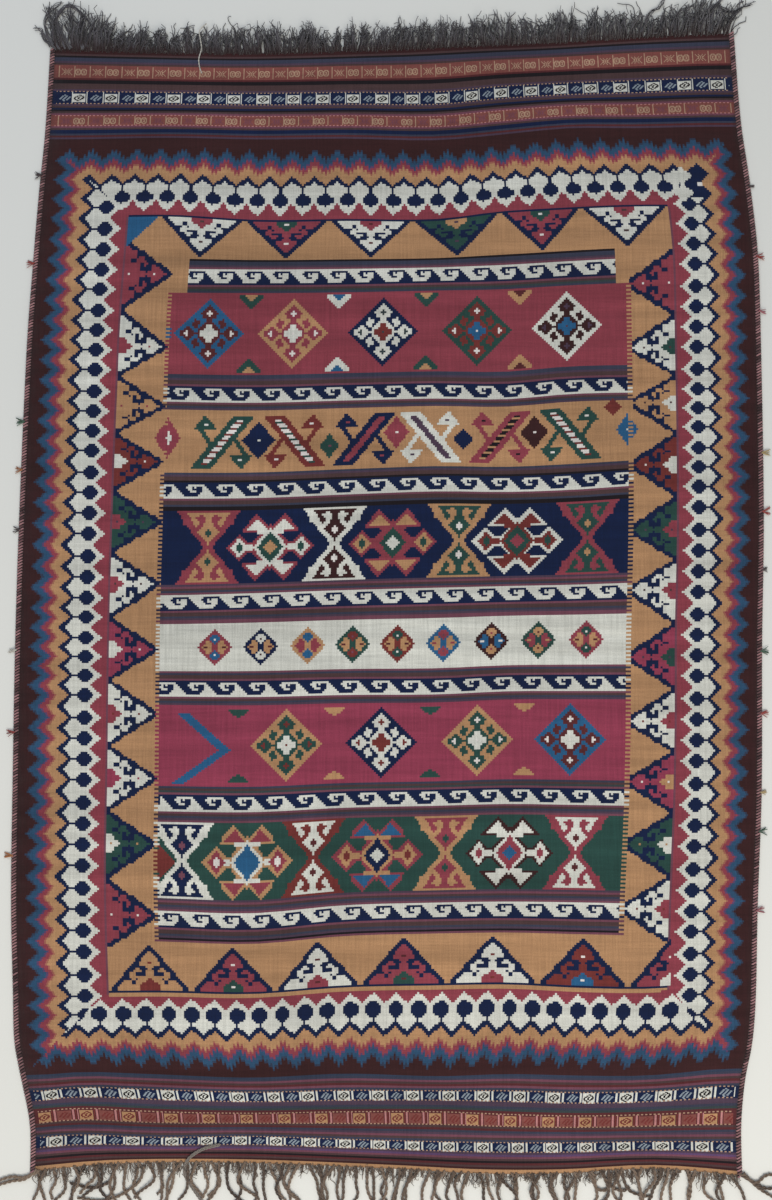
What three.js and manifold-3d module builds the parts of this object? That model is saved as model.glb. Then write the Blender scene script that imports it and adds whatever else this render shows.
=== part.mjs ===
// A flat-woven wool kilim laid out flat on a floor, in millimetres.
// X runs across the kilim, Y along it, and Z up from the floor that it lies on.
import * as THREE from 'three';
import { mergeVertices } from 'three/addons/utils/BufferGeometryUtils.js';
import Module from 'manifold-3d';

const wasm = await Module();
wasm.setup();

// Driving sizes
const gap = 0.3;
const ground = { length: 2470, thickness: 2.6, columns: 22, rows: 32 };
const sideCord = { width: 8, height: 4.4, sides: 8 };
const strip = { width: 9, height: 2.6 };
const topFringe = {
  strands: 150, width: 5, height: 2.4, steps: 2, uneven: 0.3, inset: 5, sway: 5, swayPitch: 300,
};
const bottomFringe = {
  strands: 86, width: 8, height: 2.5, steps: 4, uneven: 0.16, inset: 6, sway: 9, swayPitch: 300,
};
const strand = { sides: 3, rootDepth: 5, thinning: 0.55, leanPower: 1.4, bends: 0.8 };
const knot = { width: 7, reach: 6, height: 3.4, top: 0.7 };
const lock = { width: 3.4, height: 2.4, steps: 2, root: 0.4, aside: 1.5, spread: 3.5, uneven: 0.8 };
const loosePlait = { width: 7.5, height: 3.6, steps: 14, top: 0.7, taperFrom: 0.75, tip: 0.5 };

// Where the outer side edges lie: narrow at both ends, widest in the middle
const sideEdges = [
  { y: -1250, left: -769, right: 746 },
  { y: -1140, left: -771, right: 745 },
  { y: -1040, left: -793, right: 756 },
  { y: -970, left: -808, right: 772 },
  { y: -870, left: -813, right: 782 },
  { y: -690, left: -821, right: 790 },
  { y: -440, left: -823, right: 804 },
  { y: -140, left: -824, right: 811 },
  { y: 150, left: -821, right: 821 },
  { y: 520, left: -812, right: 823 },
  { y: 740, left: -801, right: 820 },
  { y: 900, left: -791, right: 806 },
  { y: 1040, left: -780, right: 788 },
  { y: 1240, left: -772, right: 776 },
];

// How far each end line strays from straight along its length
const endWaves = [
  { x: -775, top: -12, bottom: -12 },
  { x: -580, top: -17, bottom: 5 },
  { x: -320, top: -21, bottom: 6 },
  { x: 0, top: -12, bottom: -6 },
  { x: 190, top: -3, bottom: -16 },
  { x: 360, top: 4, bottom: -16 },
  { x: 560, top: 17, bottom: -6 },
  { x: 775, top: 26, bottom: -24 },
];

// Low buckles where the cloth stands clear of the floor: centre, half sizes, turn in degrees, lift
const buckles = [
  { x: -520, y: 610, along: 420, across: 170, turn: 8, lift: 5 },
  { x: 590, y: 760, along: 330, across: 165, turn: -14, lift: 6 },
  { x: 330, y: 300, along: 390, across: 170, turn: -6, lift: 4 },
  { x: -430, y: -40, along: 340, across: 165, turn: 5, lift: 4 },
  { x: 560, y: -250, along: 310, across: 170, turn: 10, lift: 5 },
  { x: -560, y: -560, along: 330, across: 165, turn: -10, lift: 6 },
  { x: 180, y: -620, along: 430, across: 165, turn: 3, lift: 4 },
  { x: 610, y: -900, along: 240, across: 150, turn: -20, lift: 5 },
];

// Lean and reach of the fringe ends, by their root's place across the kilim
const topEnds = [
  { x: -775, lean: -34, reach: 62 },
  { x: -745, lean: -20, reach: 104 },
  { x: -690, lean: 10, reach: 98 },
  { x: -620, lean: 8, reach: 52 },
  { x: -300, lean: -6, reach: 56 },
  { x: 0, lean: 6, reach: 52 },
  { x: 320, lean: -4, reach: 58 },
  { x: 600, lean: 8, reach: 56 },
  { x: 700, lean: 10, reach: 76 },
  { x: 775, lean: 34, reach: 70 },
];
const bottomEnds = [
  { x: -775, lean: -62, reach: 22 },
  { x: -748, lean: -16, reach: 96 },
  { x: -500, lean: -14, reach: 112 },
  { x: -300, lean: 8, reach: 104 },
  { x: 0, lean: -8, reach: 112 },
  { x: 300, lean: 10, reach: 106 },
  { x: 600, lean: -8, reach: 112 },
  { x: 715, lean: 18, reach: 98 },
  { x: 760, lean: 60, reach: 40 },
];

// Wool ends along the side cords, from the top down: place, reach and colour
const tufts = {
  left: [
    { y: 930, reach: 13, colour: 0x3a3034 },
    { y: 727, reach: 15, colour: 0xa03028 },
    { y: 369, reach: 16, colour: 0x3f6a4c },
    { y: 261, reach: 14, colour: 0xa8602c },
    { y: 127, reach: 13, colour: 0x5a3a2c },
    { y: -137, reach: 16, colour: 0xc4c0b8 },
    { y: -316, reach: 15, colour: 0x8c3a30 },
    { y: -582, reach: 16, colour: 0xb06a34 },
  ],
  right: [
    { y: 904, reach: 11, colour: 0x3a3034 },
    { y: 743, reach: 15, colour: 0xa03028 },
    { y: 618, reach: 14, colour: 0xa85060 },
    { y: 299, reach: 16, colour: 0xb8a070 },
    { y: 168, reach: 15, colour: 0xa83030 },
    { y: 39, reach: 10, colour: 0x3a3034 },
    { y: -140, reach: 15, colour: 0x28464a },
    { y: -275, reach: 15, colour: 0xa02c34 },
    { y: -446, reach: 12, colour: 0x8a6a5a },
    { y: -530, reach: 15, colour: 0x2c4c3c },
    { y: -699, reach: 16, colour: 0xa85868 },
  ],
};

// The way of the loose plait over the bottom skirt and the fringe
const plaitWay = [
  { x: -366, y: -1190 },
  { x: -404, y: -1200 },
  { x: -434, y: -1222 },
  { x: -440, y: -1252 },
  { x: -420, y: -1285 },
  { x: -398, y: -1315 },
];

const wool = (colour) => new THREE.MeshStandardMaterial({ color: colour, roughness: 0.95, metalness: 0 });

// A repeatable number from 0 to 1 for each whole number
function chance(n) {
  const spread = Math.sin(n * 12.9898 + 4.1414) * 43758.5453;
  return spread - Math.floor(spread);
}

// The value of one column of a table at a place between its rows, on a smooth line
function along(rows, key, place, column) {
  const last = rows.length - 1;
  const inside = Math.min(Math.max(place, rows[0][key]), rows[last][key]);
  let i = 0;
  while (i < last - 1 && inside > rows[i + 1][key]) i += 1;
  const slope = (a, b) => (rows[b][column] - rows[a][column]) / (rows[b][key] - rows[a][key]);
  const step = rows[i + 1][key] - rows[i][key];
  const startSlope = slope(Math.max(i - 1, 0), i + 1) * step;
  const endSlope = slope(i, Math.min(i + 2, last)) * step;
  const t = (inside - rows[i][key]) / step;
  const rise = rows[i + 1][column] - rows[i][column];
  return rows[i][column] + rise * t * t * (3 - 2 * t)
    + startSlope * t * (1 - t) * (1 - t) + endSlope * t * t * (t - 1);
}

// How far the cloth stands off the floor at a place
function liftAt(x, y) {
  let lift = 0;
  for (const b of buckles) {
    const turn = THREE.MathUtils.degToRad(b.turn);
    const u = ((x - b.x) * Math.cos(turn) + (y - b.y) * Math.sin(turn)) / b.along;
    const v = ((y - b.y) * Math.cos(turn) - (x - b.x) * Math.sin(turn)) / b.across;
    const fall = Math.max(0, 1 - u * u) * Math.max(0, 1 - v * v);
    lift = Math.max(lift, b.lift * fall * fall);
  }
  return lift;
}

// The floor place of a share across (0 left, 1 right) and a share up (-1 bottom, 1 top)
function spot(across, up, inset) {
  const straight = up * ground.length / 2;
  const left = along(sideEdges, 'y', straight, 'left') + inset;
  const right = along(sideEdges, 'y', straight, 'right') - inset;
  const x = left + (right - left) * across;
  const wave = along(endWaves, 'x', x, up > 0 ? 'top' : 'bottom');
  return { x, y: straight + wave * Math.abs(up) ** 3 };
}

// A mesh from a geometry whose points a function has moved
function bend(geometry, move) {
  geometry.deleteAttribute('normal');
  geometry.deleteAttribute('uv');
  const closed = mergeVertices(geometry, 1e-5);
  const points = closed.attributes.position;
  const point = new THREE.Vector3();
  for (let i = 0; i < points.count; i += 1) {
    point.fromBufferAttribute(points, i);
    points.setXYZ(i, ...move(point));
  }
  return closed;
}

// One closed body out of several closed geometries
function fuse(geometries) {
  const solids = geometries.map((g) => new wasm.Manifold(new wasm.Mesh({
    numProp: 3,
    vertProperties: new Float32Array(g.attributes.position.array),
    triVerts: new Uint32Array(g.index.array),
  })));
  const whole = solids.reduce((a, b) => a.add(b)).getMesh();
  const geometry = new THREE.BufferGeometry();
  geometry.setAttribute('position', new THREE.BufferAttribute(new Float32Array(whole.vertProperties), 3));
  geometry.setIndex(new THREE.BufferAttribute(new Uint32Array(whole.triVerts), 1));
  return geometry;
}

// The woven ground: one thin sheet between the side cords
function groundGeometry() {
  const sheet = new THREE.BoxGeometry(1, 2, 1, ground.columns, ground.rows, 1);
  return bend(sheet, (p) => {
    const { x, y } = spot(p.x + 0.5, p.y, sideCord.width + gap);
    return [x, y, liftAt(x, y) + (p.z + 0.5) * ground.thickness];
  });
}

// A side cord along the ground's edge, flat underneath, with the ground's own row places
function sideCordGeometry(side) {
  const { width, height, sides } = sideCord;
  const rod = new THREE.CylinderGeometry(1, 1, 2, sides, ground.rows, false, Math.PI / sides);
  const flat = Math.cos(Math.PI / sides);
  return bend(rod, (p) => {
    const inset = width / 2 + (side === 'left' ? 1 : -1) * p.x / flat * width / 2;
    const { x, y } = spot(side === 'left' ? 0 : 1, p.y, inset);
    return [x, y, liftAt(x, y) + (1 + p.z / flat) / 2 * height];
  });
}

// The narrow strip of warps beyond an end of the cloth, end 1 at the top and -1 at the bottom
function stripGeometry(end) {
  const columns = ground.columns + 2;
  const box = new THREE.BoxGeometry(1, 1, 1, columns, 1, 1);
  return bend(box, (p) => {
    const column = Math.round((p.x + 0.5) * columns);
    const corner = column === 0 || column === columns;
    const across = corner ? column / columns : (column - 1) / ground.columns;
    const { x, y } = spot(across, end, corner ? 0 : sideCord.width + gap);
    const out = gap + (0.5 + end * p.y) * strip.width;
    return [x, y + end * out, (p.z + 0.5) * strip.height];
  });
}

// One warp end: three-sided, flat underneath, thinner towards its tip
function strandGeometry(way, width, height, steps) {
  const rod = new THREE.CylinderGeometry(1, 1, 1, strand.sides, steps);
  const halfSide = Math.sin(Math.PI / strand.sides);
  const base = Math.cos(Math.PI / strand.sides);
  const ahead = 0.01;
  return bend(rod, (p) => {
    const u = 0.5 - p.y;
    const here = way(u);
    const next = way(u + ahead);
    const heading = Math.atan2(next.y - here.y, next.x - here.x);
    const taper = 1 - strand.thinning * u ** 3;
    const aside = p.x / halfSide * width / 2 * taper;
    const up = (p.z + base) / (1 + base) * height * taper;
    return [here.x - Math.sin(heading) * aside, here.y + Math.cos(heading) * aside, up];
  });
}

// A fringe: its strip with the warp ends rooted in it
function fringeGeometry(end, size, ends, seed) {
  const pieces = [stripGeometry(end)];
  const first = spot(0, end, size.inset).x;
  const last = spot(1, end, size.inset).x;
  for (let i = 0; i < size.strands; i += 1) {
    const across = (i + 0.5) / size.strands;
    const root = spot(across, end, size.inset);
    const x = first + (last - first) * across;
    const lean = along(ends, 'x', x, 'lean');
    const reach = along(ends, 'x', x, 'reach') * (1 + size.uneven * (chance(seed + i) - 0.5));
    const sway = size.sway * Math.sin(2 * Math.PI * x / size.swayPitch + seed);
    const way = (u) => ({
      x: root.x + lean * u ** strand.leanPower + sway * Math.sin(2 * Math.PI * strand.bends * u),
      y: root.y + end * (gap + strip.width - strand.rootDepth + reach * u),
    });
    pieces.push(strandGeometry(way, size.width, size.height, size.steps));
  }
  return fuse(pieces);
}

// The outer face of a side cord at a height, on the straight run between two row places
function cordFace(side, y) {
  const across = side === 'left' ? 0 : 1;
  const rows = Array.from({ length: ground.rows + 1 }, (_, i) => spot(across, -1 + 2 * i / ground.rows, 0));
  const i = rows.findIndex((row, n) => n < ground.rows && y <= rows[n + 1].y);
  const t = (y - rows[i].y) / (rows[i + 1].y - rows[i].y);
  return rows[i].x + (rows[i + 1].x - rows[i].x) * t;
}

// A wool end: a small flat knot against the cord and two locks that spread from it
function tuftGeometry(side, row, seed) {
  const out = side === 'left' ? -1 : 1;
  const faces = [-0.5, 0.5].map((end) => out * cordFace(side, row.y + end * knot.width));
  const start = Math.max(...faces) + gap;
  const body = bend(new THREE.BoxGeometry(1, 1, 1), (p) => {
    const narrow = p.z > 0 ? knot.top : 1;
    const reach = (p.x + 0.5) * knot.reach * narrow;
    return [out * (start + reach), row.y + out * p.y * knot.width * narrow, (p.z + 0.5) * knot.height];
  });
  const root = knot.reach * lock.root;
  const locks = [-1, 1].map((turn, i) => {
    const spread = lock.spread * (1 + lock.uneven * (chance(seed + i) - 0.5));
    const way = (u) => ({
      x: out * (start + root + (row.reach - root) * u),
      y: row.y + turn * (lock.aside + spread * u),
    });
    return strandGeometry(way, lock.width, lock.height, lock.steps);
  });
  return fuse([body, ...locks]);
}

// The loose plait: a flat three-sided braid lying on the skirt and on the fringe
function plaitGeometry() {
  const points = plaitWay.map((p) => new THREE.Vector3(p.x, p.y, 0));
  const curve = new THREE.CatmullRomCurve3(points);
  const rod = new THREE.CylinderGeometry(1, 1, 1, 4, loosePlait.steps, false, Math.PI / 4);
  const half = Math.cos(Math.PI / 4);
  return bend(rod, (p) => {
    const u = 0.5 - p.y;
    const here = curve.getPointAt(u);
    const heading = curve.getTangentAt(u);
    const endShare = Math.max(0, u - loosePlait.taperFrom) / (1 - loosePlait.taperFrom);
    const taper = 1 - (1 - loosePlait.tip) * endShare;
    const aside = p.x / half * loosePlait.width / 2 * taper * (p.z > 0 ? loosePlait.top : 1);
    const up = ground.thickness + gap + (p.z / half + 1) / 2 * loosePlait.height * taper;
    return [here.x - heading.y * aside, here.y + heading.x * aside, up];
  });
}

const kilim = new THREE.Group();

function add(name, geometry, colour) {
  const mesh = new THREE.Mesh(geometry, wool(colour));
  mesh.name = name;
  kilim.add(mesh);
}

add('ground', groundGeometry(), 0x7a3038);
add('side_cord_left', sideCordGeometry('left'), 0x5c3338);
add('side_cord_right', sideCordGeometry('right'), 0x5c3338);
add('fringe_top', fringeGeometry(1, topFringe, topEnds, 3), 0x4a4648);
add('fringe_bottom', fringeGeometry(-1, bottomFringe, bottomEnds, 11), 0x6a5648);
for (const side of ['left', 'right']) {
  tufts[side].forEach((row, i) => {
    add(`tuft_${side}_${i + 1}`, tuftGeometry(side, row, i * 7 + row.reach), row.colour);
  });
}
add('loose_plait', plaitGeometry(), 0x8e8a86);

// The origin is under the middle of the whole kilim
const middle = new THREE.Box3().setFromObject(kilim).getCenter(new THREE.Vector3());
kilim.position.set(-middle.x, -middle.y, 0);

export default kilim;
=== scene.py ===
import bpy
import math
import numpy as np
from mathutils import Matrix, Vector


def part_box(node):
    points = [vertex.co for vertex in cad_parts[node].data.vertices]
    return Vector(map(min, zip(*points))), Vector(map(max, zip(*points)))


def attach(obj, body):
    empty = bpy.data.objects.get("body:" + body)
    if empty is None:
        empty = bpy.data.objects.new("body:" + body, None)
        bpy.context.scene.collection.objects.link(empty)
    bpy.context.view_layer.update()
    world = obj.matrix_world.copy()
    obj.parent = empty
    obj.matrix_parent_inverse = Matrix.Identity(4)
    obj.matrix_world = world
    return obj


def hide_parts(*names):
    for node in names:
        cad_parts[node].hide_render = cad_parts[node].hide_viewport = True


# A flat-woven wool kilim on a pale floor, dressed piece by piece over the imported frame
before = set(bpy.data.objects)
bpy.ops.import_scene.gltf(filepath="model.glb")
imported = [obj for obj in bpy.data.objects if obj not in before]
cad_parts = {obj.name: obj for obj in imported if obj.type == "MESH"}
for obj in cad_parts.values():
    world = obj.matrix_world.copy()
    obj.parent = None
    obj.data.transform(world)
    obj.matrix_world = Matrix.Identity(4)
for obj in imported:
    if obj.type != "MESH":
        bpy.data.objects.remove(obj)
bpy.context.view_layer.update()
mm = 0.001

# Shared outline, as in part.mjs, its places read off the photo
cloth = {"length": 2470, "thickness": 2.6, "inset": 8.3}
sideEdges = [  # y, outer left edge, outer right edge, all in mm
    (-1250, -769, 746), (-1140, -771, 745), (-1040, -793, 756), (-970, -808, 772),
    (-870, -813, 782), (-690, -821, 790), (-440, -823, 804), (-140, -824, 811),
    (150, -821, 821), (520, -812, 823), (740, -801, 820), (900, -791, 806),
    (1040, -780, 788), (1240, -772, 776),
]
endWaves = [  # x, how far the top and the bottom line stray from straight
    (-775, -12, -12), (-580, -17, 5), (-320, -21, 6), (0, -12, -6),
    (190, -3, -16), (360, 4, -16), (560, 17, -6), (775, 26, -24),
]
buckles = [  # centre x, y, half length, half width, turn in degrees, lift
    (-520, 610, 420, 170, 8, 5), (590, 760, 330, 165, -14, 6), (330, 300, 390, 170, -6, 4),
    (-430, -40, 340, 165, 5, 4), (560, -250, 310, 170, 10, 5), (-560, -560, 330, 165, -10, 6),
    (180, -620, 430, 165, 3, 4), (610, -900, 240, 150, -20, 5),
]


def along(rows, place, column):  # smooth line through a table, flat beyond its ends
    rows = np.array(rows, float)
    keys, values = rows[:, 0], rows[:, column]
    last = len(keys) - 1
    inside = np.clip(np.asarray(place, float), keys[0], keys[last])
    i = np.clip(np.searchsorted(keys, inside, side="left") - 1, 0, last - 1)
    before, after = np.maximum(i - 1, 0), np.minimum(i + 2, last)
    step = keys[i + 1] - keys[i]
    startSlope = (values[i + 1] - values[before]) / (keys[i + 1] - keys[before]) * step
    endSlope = (values[after] - values[i]) / (keys[after] - keys[i]) * step
    t = (inside - keys[i]) / step
    rise = values[i + 1] - values[i]
    return (values[i] + rise * t * t * (3 - 2 * t)
            + startSlope * t * (1 - t) ** 2 + endSlope * t * t * (t - 1))


def liftAt(x, y):  # how far the cloth stands off the floor, mm
    lift = np.zeros(np.broadcast(x, y).shape)
    for cx, cy, length, width, turn, high in buckles:
        a = math.radians(turn)
        u = ((x - cx) * math.cos(a) + (y - cy) * math.sin(a)) / length
        v = ((y - cy) * math.cos(a) - (x - cx) * math.sin(a)) / width
        fall = np.maximum(0, 1 - u * u) * np.maximum(0, 1 - v * v)
        lift = np.maximum(lift, high * fall * fall)
    return lift


def spot(across, up, inset):  # floor place of a share across and a share up
    across, up = np.asarray(across, float), np.asarray(up, float)
    straight = up * cloth["length"] / 2
    left = along(sideEdges, straight, 1) + inset
    right = along(sideEdges, straight, 2) - inset
    x = left + (right - left) * across
    wave = np.where(up > 0, along(endWaves, x, 1), along(endWaves, x, 2))
    return x, straight + wave * np.abs(up) ** 3


# Kilim sizes start at its own middle, the frame at the middle of its whole box
groundLow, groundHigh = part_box("ground")
outline = spot(np.repeat([0.0, 1.0], 200), np.tile(np.linspace(-1, 1, 200), 2), cloth["inset"])
shift = np.array([groundLow[0] - outline[0].min() * mm, 0.0])
topLine = spot(np.linspace(0, 1, 200), np.ones(200), cloth["inset"])[1]
shift[1] = groundHigh[1] - topLine.max() * mm


def toFrame(x, y, z):  # kilim mm to frame metres
    return np.stack([x * mm + shift[0], y * mm + shift[1], z * mm * np.ones(np.shape(x))], axis=-1)


# Camera
camera = {"x": -12, "y": -190, "height": 2524, "lean": 3.685, "lens": 34.5, "sensor": 36}
eye = bpy.data.cameras.new("camera")
eye.sensor_fit = "AUTO"
eye.sensor_width = camera["sensor"]
eye.lens = camera["lens"]
eyeObject = bpy.data.objects.new("camera", eye)
eyeObject.location = toFrame(camera["x"], camera["y"], camera["height"])
eyeObject.rotation_euler = (math.radians(camera["lean"]), 0, 0)
bpy.context.scene.collection.objects.link(eyeObject)
bpy.context.scene.camera = eyeObject
print("camera placed")


# Colours and nodes
def linear(hexColour):
    channels = [int(hexColour[i:i + 2], 16) / 255 for i in (1, 3, 5)]
    return [c / 12.92 if c <= 0.04045 else ((c + 0.055) / 1.055) ** 2.4 for c in channels] + [1.0]


def node(tree, kind, settings=None, **links):  # one node, its settings and what feeds its inputs
    made = tree.nodes.new(kind)
    for key, value in (settings or {}).items():
        setattr(made, key, value)
    for name, value in links.items():
        socket = made.inputs[int(name[1:])] if name[1:].isdigit() else made.inputs[name.replace("_", " ")]
        if isinstance(value, bpy.types.NodeSocket):
            tree.links.new(value, socket)
        else:
            socket.default_value = value
    return made


yarns = {  # dyed wool, sRGB
    "n": "#0c1c40",  # navy
    "i": "#cfd0c9",  # undyed ivory
    "g": "#ae8561",  # gold
    "r": "#883c49",  # rose
    "c": "#8e3a51",  # crimson
    "k": "#371c1e",  # dark brown
    "b": "#265a84",  # blue
    "j": "#2b4c6b",  # greyed blue of the border
    "e": "#264641",  # green
    "o": "#70302e",  # brick
    "p": "#4b3a4c",  # purple grey
    "s": "#373a4d",  # slate blue
    "m": "#6e4252",  # mauve rose
    "u": "#4a3638",  # olive brown
    "t": "#a98a74",  # tan
    "w": "#dad5d2",  # pale dots
    "d": "#191319",  # near black
    "y": "#343f42",  # grey green
    "v": "#55262a",  # dark red brown
    "f": "#7e4843",  # faded brick
    "h": "#b47c7c",  # pink
    "q": "#584166",  # where blue goes over to rose
    "x": "#9a6152",  # where rose goes over to gold
    "z": "#2f3a50",  # where blue goes over to brown
    "l": "#8c98a2",  # pale blue strokes
}
letters = list(yarns)
number = {letter: i for i, letter in enumerate(letters)}
palette = np.array([linear(yarns[letter]) for letter in letters])

# The weave, charted in warps and rows
weave = {
    "warps": 728, "rows": 560,
    "baseLeft": 90, "fieldLeft": 141, "fieldRight": 600, "baseRight": 646,
    "baseTop": 90, "fieldTop": 110, "fieldBottom": 448, "baseBottom": 472,
    "leftBorder": 308, "rightBorder": 285,
}
canvas = np.full((weave["rows"], weave["warps"]), number["g"])
rowPlace, warpPlace = np.indices(canvas.shape)


def chart(rows, middleRow, middleWarp, **change):
    # Lays a quarter chart, mirrored both ways round its first cell
    for r, row in enumerate(rows):
        for c, letter in enumerate(row):
            yarn = change.get(letter, letter)
            for down in (r, -r):
                for right in (c, -c):
                    top = int(round(middleRow)) + down
                    left = int(round(middleWarp)) + right * 2
                    if 0 <= top < weave["rows"] and 0 <= left < weave["warps"]:
                        canvas[top, left:left + 2] = number[yarn]


def band(first, last, letter, left=None, right=None):
    left = weave["fieldLeft"] if left is None else left
    right = weave["fieldRight"] if right is None else right
    canvas[first:last, left:right] = number[letter]


# Stepped border: navy diamonds on an ivory lattice, then navy, gold, rose and blue zigzags
# Steps from a blob's middle to a diamond's: starts of ivory, navy, blob, outline and gold
borderSteps = np.array([
    (18, 99, 18, 43.5, 50.6), (15.7, 99, 15.7, 41.8, 48.4), (13.4, 20, 26.6, 40, 46.2),
    (11.2, 17.8, 29, 38.2, 44), (8.9, 16, 31, 36.2, 41.8), (6.6, 14.6, 99, 14.6, 39.6),
])


def borderYarn(away, phase, feather):
    steps = borderSteps[np.round(phase * 5).astype(int)]
    ivory, navy, blob, blobEnd, gold = np.moveaxis(steps, -1, 0)
    yarn = np.full(away.shape, number["r"])
    yarn[away >= ivory] = number["i"]
    yarn[away >= navy] = number["n"]
    yarn[(away >= blob) & (away < blobEnd)] = number["i"]
    yarn[away >= blobEnd] = number["n"]
    yarn[away >= gold] = number["g"]
    yarn[away >= 60 - 9 * phase + feather] = number["x"]
    yarn[away >= 62 - 9 * phase + feather] = number["r"]
    yarn[away >= 68.6 - 11.3 * phase - feather] = number["q"]
    yarn[away >= 70.6 - 11.3 * phase - feather] = number["j"]
    yarn[away >= 78 - 11.8 * phase + feather] = number["z"]
    yarn[away >= 80.3 - 11.8 * phase + feather] = number["k"]
    return yarn


borders = {"leftStart": 120.25, "rightStart": 103, "pitch": 10.25, "topStart": 116.6, "topPitch": 23.5,
           "bottomStart": 92, "bottomPitch": 22.8, "topStretch": 1.12, "bottomStretch": 1.03}
corner = {"blobRows": (73, 82), "blobWarp": 664, "blobHalves": (10, 9, 6, 3, 2), "dashWarp": 679}


def phaseOf(place, start, pitch):  # 0 at a blob, 1 half way to the next
    return np.abs(((place - start) / pitch + 0.5) % 1 - 0.5) * 2


def weaveBorders():
    toLeft = weave["baseLeft"] - warpPlace - 1.0
    toRight = (warpPlace - weave["baseRight"]) * 1.1
    toTop = (weave["baseTop"] - 1 - rowPlace) * 2 * borders["topStretch"]
    below = rowPlace - weave["baseBottom"] - 2
    toBottom = np.where(below < 0, -1, below * 2 * borders["bottomStretch"] + 3.9)
    side = np.maximum(toLeft, toRight)
    end = np.maximum(toTop, toBottom)
    start = np.where(warpPlace < 364, borders["leftStart"], borders["rightStart"])
    sidePhase = phaseOf(rowPlace, start, borders["pitch"])
    cell = warpPlace // 2 * 2 + 1
    endPhase = np.where(rowPlace < 280, phaseOf(cell, borders["topStart"], borders["topPitch"]),
                        phaseOf(cell, borders["bottomStart"], borders["bottomPitch"]))
    inEnd = end > side
    away = np.where(inEnd, end, side)
    phase = np.where(inEnd, endPhase, sidePhase)
    inBorder = away >= 0
    feather = np.where(inEnd, cell // 2 % 2 * 2.8 - 1.4, rowPlace % 2 * 0.8 - 0.4)
    canvas[inBorder] = borderYarn(away, phase, feather)[inBorder]
    edge = (side >= 0) & (side < 2) & (end < 0)
    canvas[edge] = number["m"]
    # The top right corner has two blobs and a large diamond with a dash
    inPatch = (side > 16) & (side < 48) & (end > 10) & (end < 44) & (warpPlace > 600) & (rowPlace < 100)
    canvas[inPatch & (canvas == number["i"])] = number["n"]
    for middleRow in corner["blobRows"]:
        for r, half in enumerate(corner["blobHalves"]):
            for row in (middleRow - r, middleRow + r):
                canvas[row, corner["blobWarp"] - half:corner["blobWarp"] + half] = number["i"]
    canvas[77:79, corner["dashWarp"]:corner["dashWarp"] + 5] = number["w"]


# Horned triangles round the field, half charts from their base
hornedTriangle = [
    "ccccciiiiiiiiiiinnn", "dcccciiiiiiiiiinnn", "cccciiinniiiiinnn", "cciiiiinniiiinnn", "ciiiiiniinnnnnn",
    "iiiiiiiiiinnnn", "iinnnnniiinnn", "iinniiiinnnn", "innnniinnnn", "iinnnnnnnn", "iiiiinnnn", "diiiinnn",
    "iiiinnn", "iiinnn", "iinnn", "innn", "nnn", "nn", "n",
]


def layTriangles():
    top = [(122, "i", "r", "u"), (210, "r", "e", "w"), (297, "i", "r", "v"), (383, "e", "g", "p"),
           (473, "r", "e", "w"), (557, "i", "r", "u")]
    ends = [210, 297, 383, 473, 557, 646]
    for (start, horn, base, dot), stop in zip(top, ends):
        middle = (start + stop) / 2
        stretch = (stop - start) / 81
        for r, row in enumerate(hornedTriangle):
            layRow(weave["baseTop"] + r, middle, row, stretch, horn, base, dot)
    band(89, 90, "n", 90, 646)
    bottom = [(90, "g", "o", "o"), (172, "r", "e", "w"), (256, "i", "r", "v"), (341, "r", "e", "v"),
              (428, "i", "r", "o"), (518, "o", "b", "w"), (608, "r", "i", "w")]
    ends = [172, 256, 341, 428, 518, 608, 690]
    for (start, horn, base, dot), stop in zip(bottom, ends):
        middle = (start + stop) / 2
        for r in range(22):
            layRow(weave["baseBottom"] - 1 - r, middle, hornedTriangle[int(r * 19 / 22)],
                   (stop - start) / 81, horn, base, dot, weave["baseRight"])
    band(472, 473, "n", 90, 646)
    band(473, 475, "g", 90, 640)
    # The side ones: row of the tip, colours of horns, base and dot
    left = [(117, "r", "r", "w"), (154, "i", "r", "r"), (184, "g", "g", "r"), (212, "o", "i", "w"),
            (242, "e", "r", "p"), (272, "i", "r", "u"), (306, "c", "i", "w"), (339, "i", "r", "o"),
            (370, "i", "c", "c"), (401, "e", "i", "g"), (435, "r", "r", "w")]
    right = [(127, "r", "r", "w"), (159, "i", "e", "u"), (187, "g", "i", "u"), (220, "o", "i", "w"),
             (252, "e", "r", "p"), (281, "i", "r", "u"), (314, "c", "e", "p"), (345, "i", "r", "o"),
             (374, "c", "g", "w"), (404, "e", "i", "g"), (435, "i", "r", "o")]
    for side, rows, base in ((1, left, weave["baseLeft"]), (-1, right, weave["baseRight"])):
        for n, (tip, horn, foot, dot) in enumerate(rows):
            before = (tip + rows[n - 1][0]) / 2 if n else tip - 16
            after = (tip + rows[n + 1][0]) / 2 if n + 1 < len(rows) else tip + 16
            for r in range(int(before), int(math.ceil(after))):
                half = tip - before if r < tip else after - tip
                step = int(abs(r - tip) * 18.8 / half)
                for c in range(25):
                    line = hornedTriangle[int(c * 19 / 25)]
                    if step < len(line):
                        yarn = {"i": horn, "c": foot, "d": dot}.get(line[step], line[step])
                        first = base + c * 2 if side > 0 else base - 2 - c * 2
                        canvas[r, first:first + 2] = number[yarn]
    for r in range(90, 104):  # solid blue half triangle in the top left corner
        band(r, r + 1, "b", 90, 90 + int((104 - r) * 2.2))


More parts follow.
